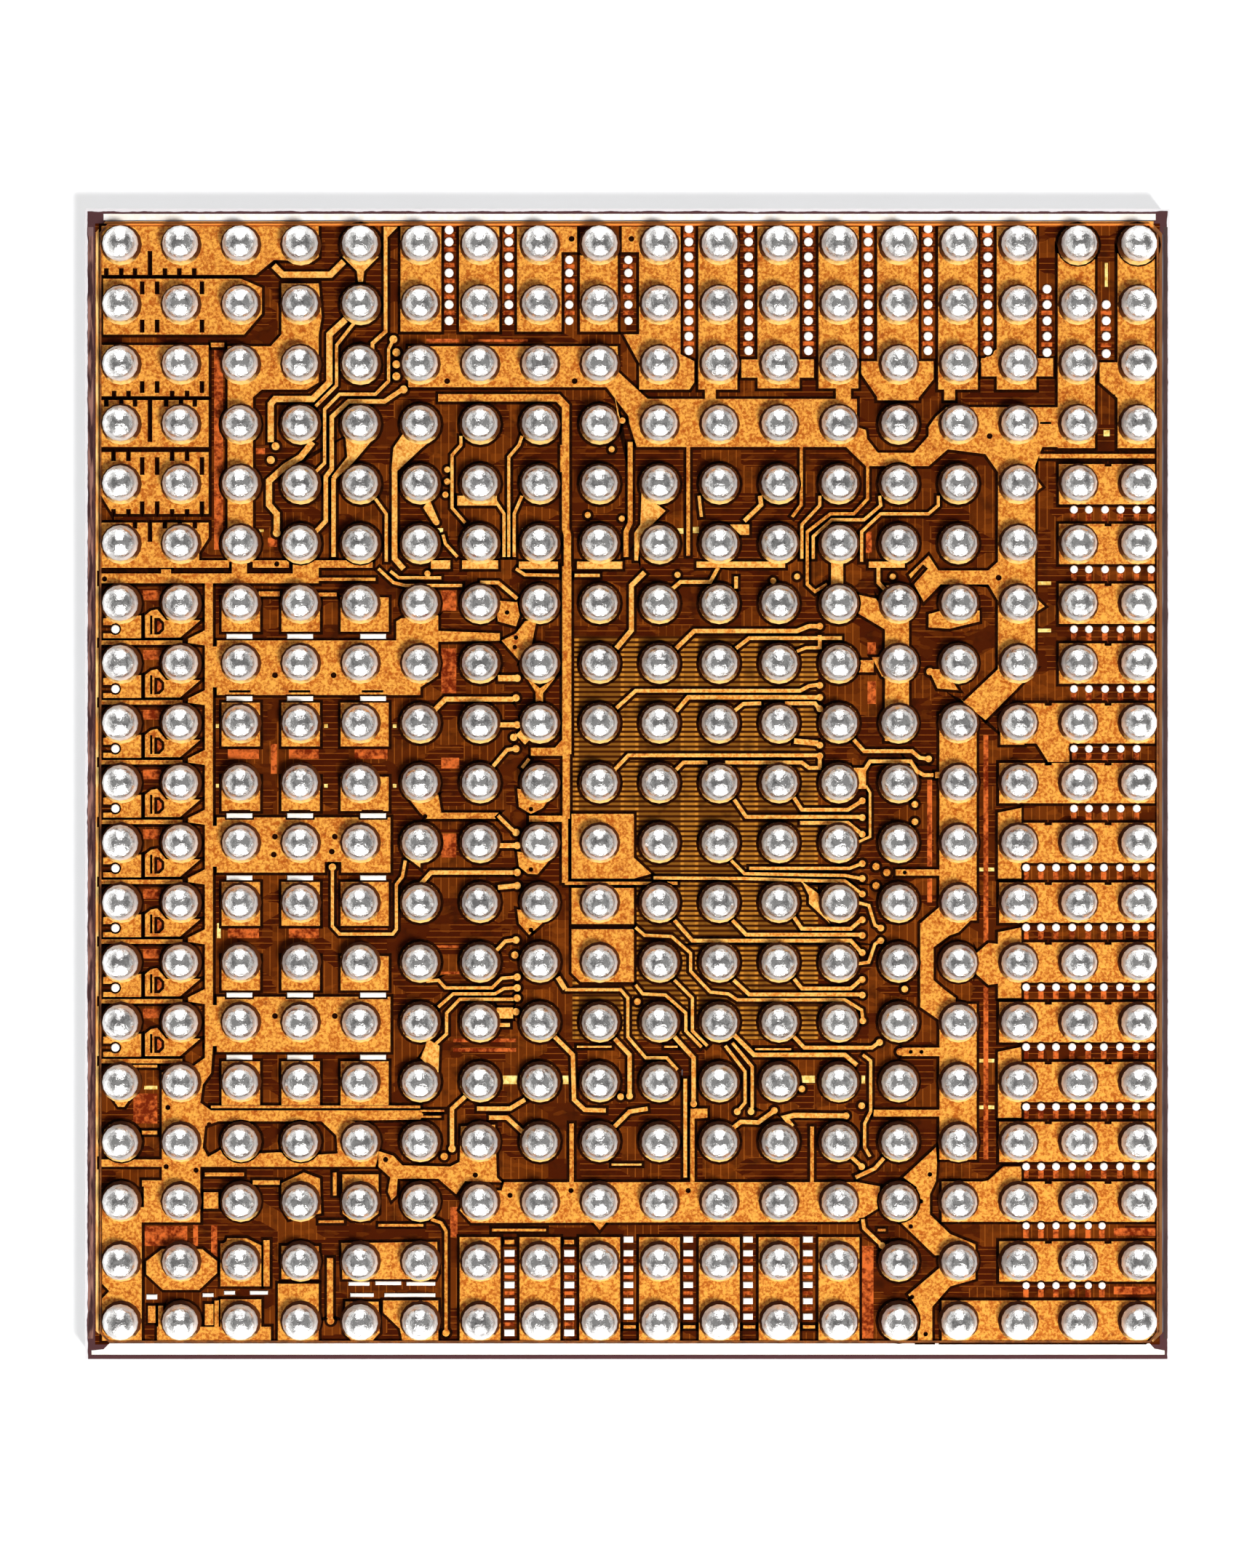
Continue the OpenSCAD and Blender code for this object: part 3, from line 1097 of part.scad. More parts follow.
module via_dots_right() {
    vias() {
        via_dots_right_shapes();
    }
}

module via_bars_left() {
    vias() {
        via_bars_left_shapes();
    }
}

module via_ovals_near() {
    vias() {
        via_ovals_near_shapes();
    }
}

module openings() {
    for (row = [0 : rows - 1]) {
        for (column = [0 : columns - 1]) {
            disc(column, row, opening_radius, 36);
        }
    }
}

module upper_polyimide() {
    color(polyimide_amber) {
        translate([0, 0, upper_z]) {
            linear_extrude(polyimide_thickness) {
                difference() {
                    sheet_outline();
                    openings();
                }
            }
        }
    }
}

// One metal disc in each opening of the upper polyimide, under its ball.
module under_bump_metal() {
    color(pad_nickel) {
        for (row = [0 : rows - 1]) {
            for (column = [0 : columns - 1]) {
                p = at([column, row]);
                translate([p[0], p[1], upper_z]) {
                    cylinder(h = polyimide_thickness, r = opening_radius * ball_pitch, $fn = 36);
                }
            }
        }
    }
}

module ball(column, row) {
    p = at([column, row]);
    intersection() {
        translate([p[0], p[1], ball_z + ball_height - ball_diameter / 2]) {
            sphere(d = ball_diameter, $fn = 48);
        }
        translate([p[0] - ball_diameter, p[1] - ball_diameter, ball_z]) {
            cube([2 * ball_diameter, 2 * ball_diameter, 2 * ball_diameter]);
        }
    }
}

module ball_row(row) {
    color(solder_silver) {
        for (column = [0 : columns - 1]) {
            ball(column, row);
        }
    }
}

module ball_row_a() {
    ball_row(0);
}

module ball_row_b() {
    ball_row(1);
}

module ball_row_c() {
    ball_row(2);
}

module ball_row_d() {
    ball_row(3);
}

module ball_row_e() {
    ball_row(4);
}

module ball_row_f() {
    ball_row(5);
}

module ball_row_g() {
    ball_row(6);
}

module ball_row_h() {
    ball_row(7);
}

module ball_row_j() {
    ball_row(8);
}

module ball_row_k() {
    ball_row(9);
}

module ball_row_l() {
    ball_row(10);
}

module ball_row_m() {
    ball_row(11);
}

module ball_row_n() {
    ball_row(12);
}

module ball_row_p() {
    ball_row(13);
}

module ball_row_r() {
    ball_row(14);
}

module ball_row_t() {
    ball_row(15);
}

module ball_row_u() {
    ball_row(16);
}

module ball_row_v() {
    ball_row(17);
}

module ball_row_w() {
    ball_row(18);
}

backside_film();
silicon_die();
die_passivation();
die_power_straps();
die_marks();
edge_strips();
edge_bands();
guard_lines();
lower_polyimide();
pours_far_left();
pours_far_right();
pours_left_cells();
pours_left_block();
pours_middle();
pours_right_strips();
pours_right_bank();
pours_near_left();
pours_near_middle();
pours_near_bank();
traces_far_left();
traces_far_right();
traces_middle_left();
traces_center();
traces_near();
via_dots_far();
via_dots_right();
via_bars_left();
via_ovals_near();
upper_polyimide();
under_bump_metal();
ball_row_a();
ball_row_b();
ball_row_c();
ball_row_d();
ball_row_e();
ball_row_f();
ball_row_g();
ball_row_h();
ball_row_j();
ball_row_k();
ball_row_l();
ball_row_m();
ball_row_n();
ball_row_p();
ball_row_r();
ball_row_t();
ball_row_u();
ball_row_v();
ball_row_w();
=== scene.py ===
"""Looks of a bumped silicon chip that lies with its solder balls up.

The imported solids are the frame. The balls, the copper wiring, the vias, the edges of the two clear
films and the floor of the laser mark are modelled here over their solids. Every other solid keeps its
shape and gets its finish, and a plain pale studio stands around them.
"""

from __future__ import annotations

import json
import logging
import math
import random
from contextlib import contextmanager
from dataclasses import dataclass, field
from enum import Enum
from typing import Any, Callable, ClassVar, Iterable, Iterator, Mapping, Sequence, Union

import bmesh
import bpy
from mathutils import Matrix, Vector

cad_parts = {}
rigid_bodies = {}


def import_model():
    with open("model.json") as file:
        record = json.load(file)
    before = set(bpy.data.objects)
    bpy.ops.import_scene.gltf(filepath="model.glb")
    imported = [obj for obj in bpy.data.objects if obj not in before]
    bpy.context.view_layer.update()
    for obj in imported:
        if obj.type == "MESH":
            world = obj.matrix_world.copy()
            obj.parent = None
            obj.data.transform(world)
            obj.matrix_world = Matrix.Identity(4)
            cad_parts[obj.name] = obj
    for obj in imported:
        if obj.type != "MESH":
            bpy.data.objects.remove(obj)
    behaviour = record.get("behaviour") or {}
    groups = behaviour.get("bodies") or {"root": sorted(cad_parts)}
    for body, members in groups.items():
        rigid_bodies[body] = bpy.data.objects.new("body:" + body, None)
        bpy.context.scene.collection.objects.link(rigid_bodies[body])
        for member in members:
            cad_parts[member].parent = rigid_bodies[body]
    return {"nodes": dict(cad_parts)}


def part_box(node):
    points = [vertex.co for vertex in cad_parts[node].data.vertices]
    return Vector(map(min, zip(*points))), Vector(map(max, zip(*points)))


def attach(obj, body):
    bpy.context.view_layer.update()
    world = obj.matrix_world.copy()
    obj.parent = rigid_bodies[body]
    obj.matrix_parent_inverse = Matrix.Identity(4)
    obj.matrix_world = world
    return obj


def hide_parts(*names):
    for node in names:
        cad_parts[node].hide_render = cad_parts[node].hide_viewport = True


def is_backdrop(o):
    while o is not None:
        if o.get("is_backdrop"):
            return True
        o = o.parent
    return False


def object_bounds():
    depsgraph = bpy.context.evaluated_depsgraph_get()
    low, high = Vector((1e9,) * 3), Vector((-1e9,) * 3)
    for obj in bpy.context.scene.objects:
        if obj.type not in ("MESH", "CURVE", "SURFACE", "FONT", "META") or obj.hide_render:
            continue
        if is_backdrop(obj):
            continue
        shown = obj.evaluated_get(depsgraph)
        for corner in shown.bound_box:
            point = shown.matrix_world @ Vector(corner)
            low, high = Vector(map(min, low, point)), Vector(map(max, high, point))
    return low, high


MILLIMETRE = 0.001
ROWS = "abcdefghjklmnprtuvw"
COLUMNS = 18
LOG = logging.getLogger("bumped_chip")

Colour = tuple[float, float, float, float]


@dataclass(frozen=True)
class Tint:
    """A surface colour in everyday steps from 0 to 255."""

    red: float
    green: float
    blue: float

    def linear(self) -> Colour:
        """The tint as linear red, green, blue and a full alpha."""
        return (*(self._to_linear(step / 255) for step in (self.red, self.green, self.blue)), 1.0)

    @staticmethod
    def _to_linear(share: float) -> float:
        """One channel from display steps to linear light."""
        return share / 12.92 if share <= 0.04045 else ((share + 0.055) / 1.055) ** 2.4


class Value:
    """A number that a socket carries, with Python's operators standing for Math nodes."""

    def __init__(self, graph: "Graph", socket: bpy.types.NodeSocket) -> None:
        """Keeps the graph and the socket that the number comes from."""
        self.graph = graph
        self.socket = socket

    def _maths(self, operation: str, *terms: "Number") -> "Value":
        """One Math node over the given terms."""
        return self.graph.number("ShaderNodeMath", {"operation": operation}, dict(enumerate(terms)))

    def __add__(self, other: "Number") -> "Value":
        """Sum."""
        return self._maths("ADD", self, other)

    def __radd__(self, other: "Number") -> "Value":
        """Sum with the number in front."""
        return self._maths("ADD", other, self)

    def __sub__(self, other: "Number") -> "Value":
        """Difference."""
        return self._maths("SUBTRACT", self, other)

    def __rsub__(self, other: "Number") -> "Value":
        """Difference with the number in front."""
        return self._maths("SUBTRACT", other, self)

    def __mul__(self, other: "Number") -> "Value":
        """Product."""
        return self._maths("MULTIPLY", self, other)

    def __rmul__(self, other: "Number") -> "Value":
        """Product with the number in front."""
        return self._maths("MULTIPLY", other, self)

    def __truediv__(self, other: "Number") -> "Value":
        """Quotient."""
        return self._maths("DIVIDE", self, other)

    def __abs__(self) -> "Value":
        """Size without its sign."""
        return self._maths("ABSOLUTE", self)

    def part(self) -> "Value":
        """What is left after the whole steps are taken away, from 0 to 1."""
        return self._maths("FRACT", self)

    def above(self, low: float, high: float) -> "Value":
        """A soft step.

        Args:
            low: Where the step starts to rise from 0.
            high: Where it reaches 1. With high under low it falls instead.

        Returns:
            A number from 0 to 1.
        """
        return self.graph.number(
            "ShaderNodeMapRange",
            {"interpolation_type": "SMOOTHSTEP", "clamp": True},
            {"Value": self, "From Min": low, "From Max": high, "To Min": 0.0, "To Max": 1.0},
            "Result",
        )


Number = Union[Value, float]


class Graph:
    """A material's or the world's nodes, made one by one from their settings and sockets."""

    def __init__(self, tree: bpy.types.NodeTree) -> None:
        """Starts on an empty tree."""
        tree.nodes.clear()
        self.tree = tree

    def node(
        self,
        kind: str,
        settings: Mapping[str, Any] | None = None,
        sockets: Mapping[Union[str, int], Any] | None = None,
    ) -> bpy.types.Node:
        """Adds one node.

        Args:
            kind: The node's type name.
            settings: Its properties, set before its sockets.
            sockets: Values, tints or links for its inputs, by name or place.

        Returns:
            The new node.
        """
        made = self.tree.nodes.new(kind)
        for name, setting in (settings or {}).items():
            setattr(made, name, setting)
        for name, fed in (sockets or {}).items():
            self._feed(made.inputs[name], fed)
        return made

    def _feed(self, socket: bpy.types.NodeSocket, fed: Any) -> None:
        """Links or sets one input.

        Args:
            socket: The input.
            fed: A Value, an output socket, a Tint or a plain value.
        """
        if isinstance(fed, Value):
            self.tree.links.new(fed.socket, socket)
        elif isinstance(fed, bpy.types.NodeSocket):
            self.tree.links.new(fed, socket)
        elif isinstance(fed, Tint):
            socket.default_value = fed.linear()
        else:
            socket.default_value = fed

    def number(
        self,
        kind: str,
        settings: Mapping[str, Any] | None = None,
        sockets: Mapping[Union[str, int], Any] | None = None,
        output: Union[str, int] = 0,
    ) -> Value:
        """The named output of a new node, as a Value."""
        return Value(self, self.node(kind, settings, sockets).outputs[output])

    def place(self) -> bpy.types.NodeSocket:
        """The object's own coordinates, in metres."""
        return self.node("ShaderNodeTexCoord").outputs["Object"]

    def along(self, axis: str) -> Value:
        """How far along X, Y or Z a point lies, in millimetres."""
        place = self.node("ShaderNodeSeparateXYZ", None, {0: self.place()})
        return Value(self, place.outputs[axis]) * (1 / MILLIMETRE)

    def stretched(self, scale: Sequence[float]) -> bpy.types.NodeSocket:
        """The object's coordinates, scaled along each axis.

        Args:
            scale: The three scales.

        Returns:
            The scaled coordinates.
        """
        return self.node(
            "ShaderNodeMapping", {"vector_type": "POINT"}, {"Vector": self.place(), "Scale": scale}
        ).outputs["Vector"]

    def noise(self, size: float, detail: float = 2.0, stretch: Sequence[float] | None = None) -> Value:
        """Cloudy variation.

        Args:
            size: The width of its clouds in millimetres.
            detail: How many finer layers it has.
            stretch: Shares by which each axis is scaled, for streaks.

        Returns:
            A number around 0.5.
        """
        return self.number(
            "ShaderNodeTexNoise",
            {"noise_dimensions": "3D"},
            {
                "Vector": self.stretched(stretch) if stretch else self.place(),
                "Scale": 1 / (size * MILLIMETRE),
                "Detail": detail,
                "Roughness": 0.6,
            },
        )

    def blocks(self, size: float, stretch: Sequence[float] | None = None) -> Value:
        """Square-edged cells, each with its own level.

        Args:
            size: The width of a cell in millimetres.
            stretch: Shares by which each axis is scaled.

        Returns:
            A number from 0 to 1, the same all over one cell.
        """
        cells = self.node(
            "ShaderNodeTexVoronoi",
            {"voronoi_dimensions": "2D", "distance": "CHEBYCHEV"},
            {
                "Vector": self.stretched(stretch) if stretch else self.place(),
                "Scale": 1 / (size * MILLIMETRE),
                "Randomness": 0.75,
            },
        )
        split = self.node("ShaderNodeSeparateColor", None, {0: cells.outputs["Color"]})
        return Value(self, split.outputs[0])

    def mix(self, first: Any, second: Any, share: Number) -> bpy.types.NodeSocket:
        """One colour turned into another.

        Args:
            first: The tint or colour at a share of 0.
            second: The tint or colour at a share of 1.
            share: How much of the second shows.

        Returns:
            The mixed colour.
        """
        return self.node(
            "ShaderNodeMix",
            {"data_type": "RGBA", "clamp_factor": True},
            {0: share, 6: first, 7: second},
        ).outputs[2]

    def in_cell(self, axis: str, first: float, pitch: float) -> Value:
        """How far a point lies from the nearest ball's middle, in pitches.

        Args:
            axis: X or Y.
            first: Where the first ball's middle lies, in millimetres.
            pitch: The step from ball to ball, in millimetres.

        Returns:
            A number from -0.5 to 0.5.
        """
        return ((self.along(axis) - first) / pitch + 0.5).part() - 0.5

    def bump(self, height: Value, rise: float, strength: float = 1.0) -> bpy.types.NodeSocket:
        """A bumped normal.

        Args:
            height: The relief, around 0 to 1.
            rise: What a height of 1 stands for, in millimetres.
            strength: How much of it shows.

        Returns:
            The normal.
        """
        return self.node(
            "ShaderNodeBump",
            None,
            {"Height": height, "Distance": rise * MILLIMETRE, "Strength": strength},
        ).outputs["Normal"]

    def seen(self) -> Value:
        """1 for what the eye, gloss or glass sees, and 0 for what lights other things.

        Returns:
            A number, 0 or 1.
        """
        path = self.node("ShaderNodeLightPath")
        rays = ("Is Camera Ray", "Is Glossy Ray", "Is Transmission Ray")
        eye, gloss, glass = (Value(self, path.outputs[ray]) for ray in rays)
        return (eye + gloss + glass).above(0.0, 1.0)

    def surface(self, sockets: Mapping[Union[str, int], Any]) -> None:
        """Ends the graph in one Principled surface with these sockets."""
        shader = self.node("ShaderNodeBsdfPrincipled", None, sockets)
        self.node("ShaderNodeOutputMaterial", None, {"Surface": shader.outputs["BSDF"]})


class Finish:
    """A finish that makes its material the first time that a piece asks for it."""

    title: str
    kept: ClassVar[dict[str, bpy.types.Material]] = {}

    def paint(self, graph: Graph) -> None:
        """Lays the finish's nodes in the graph."""
        raise NotImplementedError

    def material(self) -> bpy.types.Material:
        """The finish's material.

        Returns:
            The one material of this name.
        """
        if self.title not in Finish.kept:
            made = bpy.data.materials.new(self.title)
            made.use_nodes = True
            self.paint(Graph(made.node_tree))
            Finish.kept[self.title] = made
        return Finish.kept[self.title]


@dataclass(frozen=True)
class CopperFinish(Finish):
    """Grainy copper seen through amber polyimide."""

    title: str = "amber_copper"
    dark: Tint = Tint(186, 94, 22)
    light: Tint = Tint(246, 174, 72)
    spot: Tint = Tint(140, 56, 10)
    grain: float = 0.017
    mottle: float = 0.06
    metallic: float = 0.15
    roughness: float = 0.42

    def paint(self, graph: Graph) -> None:
        """Two sizes of mottling and scattered dark specks.

        Args:
            graph: The empty graph.
        """
        grain = graph.noise(self.grain, 1.0)
        mottle = graph.noise(self.mottle, 3.0)
        tone = (grain * 0.65 + mottle * 0.35).above(0.36, 0.64)
        colour = graph.mix(self.dark, self.light, tone)
        graph.surface(
            {
                "Base Color": graph.mix(colour, self.spot, mottle.above(0.38, 0.28) * 0.6),
                "Metallic": self.metallic,
                "Specular IOR Level": 0.2,
                "Roughness": grain * 0.3 + (self.roughness - 0.15),
                "Normal": graph.bump(grain + mottle, 0.0025, 0.5),
            }
        )


@dataclass(frozen=True)
class SolderFinish(Finish):
    """Frosty solder, with a painted reflection that is grey on the crown of each ball and pale on its
    shoulder.
    """

    title: str = "frosted_solder"
    # Painted reflection: pale on each ball's shoulder, grey on its crown.
    pale: Tint = Tint(252, 250, 247)
    grey: Tint = Tint(120, 116, 116)
    pitch: float = 0.4
    first_column: float = 0.0
    first_row: float = 0.0

    def paint(self, graph: Graph) -> None:
        """A frosted shoulder painted pale and a smoother crown painted grey, both as a painted reflection,
        with uneven patches and a crystal grain.

        Args:
            graph: The empty graph.
        """
        across = graph.in_cell("X", self.first_column, self.pitch)
        upwards = graph.in_cell("Y", self.first_row, self.pitch)
        cloud = graph.noise(0.1, 3.0)
        grain = graph.noise(0.022, 2.0)
        away = across * across + upwards * upwards + (cloud - 0.5) * 0.03
        shoulder = away.above(0.05, 0.076)
        tarnish_and_painted_reflection = cloud.above(0.46, 0.62)
        # Painted reflection: the crown is painted grey and the shoulder pale, with uneven cloudy patches
        # over both.
        crown = tarnish_and_painted_reflection * 0.4 + grain.above(0.52, 0.72) * 0.3 + 0.2
        shade = (1 - shoulder) * crown + shoulder * tarnish_and_painted_reflection * 0.25
        graph.surface(
            {
                "Base Color": graph.mix(self.pale, self.grey, shade),
                "Metallic": 0.9 - shoulder * 0.5,
                "Roughness": cloud * 0.2 + shoulder * 0.35 + 0.08,
                "Normal": graph.bump(grain * 0.35 + cloud, 0.014, 0.6),
            }
        )


@dataclass(frozen=True)
class MetalFinish(Finish):
    """A thin printed metal on the die or in the wiring."""

    title: str
    dark: Tint
    light: Tint
    size: float = 0.03
    metallic: float = 0.4
    roughness: float = 0.4
    streaks: tuple[float, float, float] = (1.0, 1.0, 1.0)
    gloss: float = 0.3

    def paint(self, graph: Graph) -> None:
        """Cloudy tone in two sizes over a light tooth.

        Args:
            graph: The empty graph.
        """
        fine = graph.noise(self.size, 2.0, self.streaks)
        broad = graph.noise(self.size * 9, 1.0)
        graph.surface(
            {
                "Base Color": graph.mix(
                    self.dark, self.light, (fine * 0.65 + broad * 0.35).above(0.38, 0.62)
                ),
                "Metallic": self.metallic,
                "Specular IOR Level": self.gloss,
                "Roughness": fine * 0.25 + (self.roughness - 0.12),
                "Normal": graph.bump(fine, 0.001, 0.4),
            }
        )


@dataclass(frozen=True)
class SidedFinish(Finish):
    """Test metal in the die's margin, with painted shade on the right side and painted light on the far
    one.
    """

    title: str
    dark: Tint
    light: Tint
    right_painted_shade: Tint
    far_painted_light: Tint
    corner: Vector
    margin: float = 0.06
    blend: float = 0.01

    def paint(self, graph: Graph) -> None:
        """Lengthwise streaks, darkened by painted shade on the right and brightened by painted light at
        the far side.

        Args:
            graph: The empty graph.
        """
        streak = graph.noise(0.03, 3.0, (1.0, 0.12, 1.0))
        # Painted shade darkens the right side, and painted light brightens the far side.
        right, far = (
            graph.along(axis).above(side - self.margin - self.blend, side - self.margin + self.blend)
            for axis, side in zip("XY", self.corner)
        )
        bright = graph.mix(self.dark, self.light, streak.above(0.4, 0.64))
        bright = graph.mix(bright, self.far_painted_light, far * (streak * 0.4 + 0.6))
        graph.surface(
            {
                "Base Color": graph.mix(bright, self.right_painted_shade, right * 0.9),
                "Specular IOR Level": 0.2,
                "Roughness": streak * 0.3 + 0.35,
                "Normal": graph.bump(streak, 0.001, 0.4),
            }
        )


@dataclass(frozen=True)
class DieFaceFinish(Finish):
    """The passivated die face, with circuit blocks and a field of fine hatching."""

    title: str = "die_face"
    base: Tint = Tint(66, 20, 3)
    block: Tint = Tint(122, 58, 12)
    field_dark: Tint = Tint(62, 26, 4)
    field_light: Tint = Tint(204, 134, 46)
    line: Tint = Tint(158, 84, 24)
    cloud: Tint = Tint(34, 12, 3)
    margin: Tint = Tint(84, 54, 56)
    # Painted highlight: the pale tint along the die's saw-cut edge.
    painted_edge_highlight: Tint = Tint(232, 228, 230)
    field_low: tuple[float, float] = (-0.366, -1.712)
    field_high: tuple[float, float] = (1.274, 0.988)
    field_blend: float = 0.004
    hatch: float = 0.0333
    pitch: float = 0.4
    column_shift: float = 0.465
    column_gap: float = 0.12
    upright_step: float = 0.052
    level_step: float = 0.041
    half: tuple[float, float] = (3.63, 3.85)
    margin_width: tuple[float, float] = (0.07, 0.1)
    margin_blend: float = 0.005
    street_width: float = 0.02
    street_blend: float = 0.006

    def paint(self, graph: Graph) -> None:
        """Blocks and fine lines, hatching with bright columns in the field, and a painted highlight along
        the saw-cut rim.

        Args:
            graph: The empty graph.
        """
        x, y = graph.along("X"), graph.along("Y")
        wide, fine = graph.blocks(0.26, (1.0, 1.7, 1.0)), graph.blocks(0.07, (1.0, 2.4, 1.0))
        inside = self._inside(x, y)
        rung = abs((y / self.hatch).part() - 0.5).above(0.17, 0.33)
        circuits = graph.mix(self._plain(graph, x, y, wide, fine), self._hatched(graph, x, rung), inside)
        clouds = graph.noise(0.1, 2.0)
        shaded = graph.mix(circuits, self.cloud, clouds.above(0.5, 0.75) * 0.5)
        # The pale band along the die's saw-cut edge is a painted highlight.
        outside, edge_highlight_band = self._rim(x, y, (clouds - 0.5) * 0.02)
        graph.surface(
            {
                "Base Color": graph.mix(graph.mix(shaded, self.margin, outside), self.painted_edge_highlight, edge_highlight_band),
                "Roughness": clouds * 0.2 + 0.4,
                "Specular IOR Level": 0.02,
                "Normal": graph.bump(fine + rung * inside, 0.0008, 0.4),
            }
        )

    def _inside(self, x: Value, y: Value) -> Value:
        """Where the hatched field lies.

        Args:
            x: The place along X.
            y: The place along Y.

        Returns:
            1 in the field and 0 around it.
        """
        return (
            x.above(self.field_low[0] - self.field_blend, self.field_low[0])
            * x.above(self.field_high[0] + self.field_blend, self.field_high[0])
            * y.above(self.field_low[1] - self.field_blend, self.field_low[1])
            * y.above(self.field_high[1] + self.field_blend, self.field_high[1])
        )

    def _plain(self, graph: Graph, x: Value, y: Value, wide: Value, fine: Value) -> bpy.types.NodeSocket:
        """Circuit blocks of two sizes, some of them lined upright or level.

        Args:
            graph: The graph.
            x: The place along X.
            y: The place along Y.
            wide: The level of each large block.
            fine: The level of each small block.

        Returns:
            The colour outside the field.
        """
        density = wide.above(0.35, 0.95) * 0.6 + fine.above(0.6, 1.0) * 0.35
        upright = abs((x / self.upright_step).part() - 0.5).above(0.42, 0.47) * wide.above(0.55, 0.6)
        level = abs((y / self.level_step).part() - 0.5).above(0.42, 0.47) * wide.above(0.45, 0.4)
        return graph.mix(graph.mix(self.base, self.block, density), self.line, (upright + level) * 0.7)

    def _hatched(self, graph: Graph, x: Value, rung: Value) -> bpy.types.NodeSocket:
        """Level hatching, brighter in two thin columns and in a ladder between them.

        Args:
            graph: The graph.
            x: The place along X.
            rung: 1 on a line of the hatching.

        Returns:
            The colour inside the field.
        """
        from_middle = abs((x / self.pitch + self.column_shift).part() - 0.5)
        column = abs(from_middle - self.column_gap).above(0.035, 0.02)
        ladder = from_middle.above(0.17, 0.13)
        return graph.mix(self.field_dark, self.field_light, rung * (ladder * 0.35 + column * 0.35 + 0.3))

    def _rim(self, x: Value, y: Value, ragged: Value) -> tuple[Value, Value]:
        """The plain margin round the circuits, and the pale painted highlight along the saw-cut edge on
        all but the near side.

        Args:
            x: The place along X.
            y: The place along Y.
            ragged: How uneven the saw's edge is.

        Returns:
            1 in the margin, and 1 in the painted highlight along the edge.
        """
        wide, high = self.half
        side, end = wide - self.margin_width[0], high - self.margin_width[1]
        outside = abs(x).above(side, side + self.margin_blend) + abs(y).above(end, end + self.margin_blend)
        inner, outer = -self.street_width, self.street_blend - self.street_width
        edge_highlight_band = (abs(x) - wide + ragged).above(inner, outer) + (y - high + ragged).above(inner, outer)
        return outside, edge_highlight_band


@dataclass(frozen=True)
class FilmFinish(Finish):
    """Cured amber polyimide, seen where a film ends."""

    title: str
    thin: Tint
    thick: Tint
    # Painted light: the bright orange tint along the far side.
    far: Tint
    far_side: float
    far_width: float = 0.03
    far_blend: float = 0.01
    roughness: float = 0.3

    def paint(self, graph: Graph) -> None:
        """A cloudy amber with a soft gloss, and painted light along the far side.

        Args:
            graph: The empty graph.
        """
        cloud = graph.noise(0.05, 2.0)
        start = self.far_side - self.far_width
        # Painted light along the far side of the film.
        far_painted_light_mask = graph.along("Y").above(start, start + self.far_blend)
        amber = graph.mix(self.thin, self.thick, cloud.above(0.35, 0.65))
        graph.surface(
            {
                "Base Color": graph.mix(amber, self.far, far_painted_light_mask),
                "Roughness": cloud * 0.2 + (self.roughness - 0.1),
                "Normal": graph.bump(cloud, 0.001, 0.3),
            }
        )


@dataclass(frozen=True)
class SwellFinish(Finish):
    """The upper film where it swells round a ball, painted golden on the near side as a highlight and dark
    elsewhere as shade.
    """

    title: str = "film_swell_painted_light"
    # Painted light and shade: the golden tint is a painted highlight on each ball's near side, the dark
    # one painted shade on its other sides.
    thin: Tint = Tint(255, 204, 120)
    thick: Tint = Tint(84, 42, 16)
    pitch: float = 0.4
    first_row: float = 0.0

    def paint(self, graph: Graph) -> None:
        """A cloudy amber, painted golden towards the near side of each ball as a highlight and dark
        elsewhere as shade.

        Args:
            graph: The empty graph.
        """
        cloud = graph.noise(0.04, 2.0)
        # Painted highlight on each ball's near side, painted shade round the rest.
        near = (graph.in_cell("Y", self.first_row, self.pitch) + (cloud - 0.5) * 0.2).above(-0.18, -0.34)
        graph.surface(
            {
                "Base Color": graph.mix(self.thick, self.thin, near),
                "Specular IOR Level": 0.05,
                "Roughness": cloud * 0.2 + 0.3,
                "Normal": graph.bump(cloud, 0.001, 0.3),
            }
        )


@dataclass(frozen=True)
class SiliconFinish(Finish):
    """Diced silicon: grey, smooth, with fine level saw marks down its sides."""

    title: str = "diced_silicon"
    dark: Tint = Tint(74, 74, 82)
    light: Tint = Tint(140, 140, 150)

    def paint(self, graph: Graph) -> None:
        """Level streaks over a soft cloud.

        Args:
            graph: The empty graph.
        """
        saw = graph.noise(0.06, 3.0, (0.15, 0.15, 5.0))
        cloud = graph.noise(0.3, 2.0)
        streak = (saw * 0.7 + cloud * 0.3).above(0.35, 0.65)
        graph.surface(
            {
                "Base Color": graph.mix(self.dark, self.light, streak),
                "Metallic": 0.6,
                "Roughness": saw * 0.3 + 0.2,
                "Normal": graph.bump(saw, 0.003, 0.5),
            }
        )


@dataclass(frozen=True)
class BackFilmFinish(Finish):
    """Matt black back film with a fine speckle."""

    title: str = "black_back_film"
    base: Tint = Tint(26, 26, 33)
    speck: Tint = Tint(44, 44, 54)

    def paint(self, graph: Graph) -> None:
        """Filler specks of two sizes on a matt ground.

        Args:
            graph: The empty graph.
        """
        fine, coarse = graph.noise(0.02, 2.0), graph.noise(0.07, 3.0)
        specks = fine.above(0.5, 0.72) * 0.7 + coarse.above(0.45, 0.7) * 0.3
        graph.surface(
            {
                "Base Color": graph.mix(self.base, self.speck, specks),
                "Roughness": fine * 0.3 + 0.45,
                "Normal": graph.bump(fine + coarse, 0.003, 0.5),
            }
        )


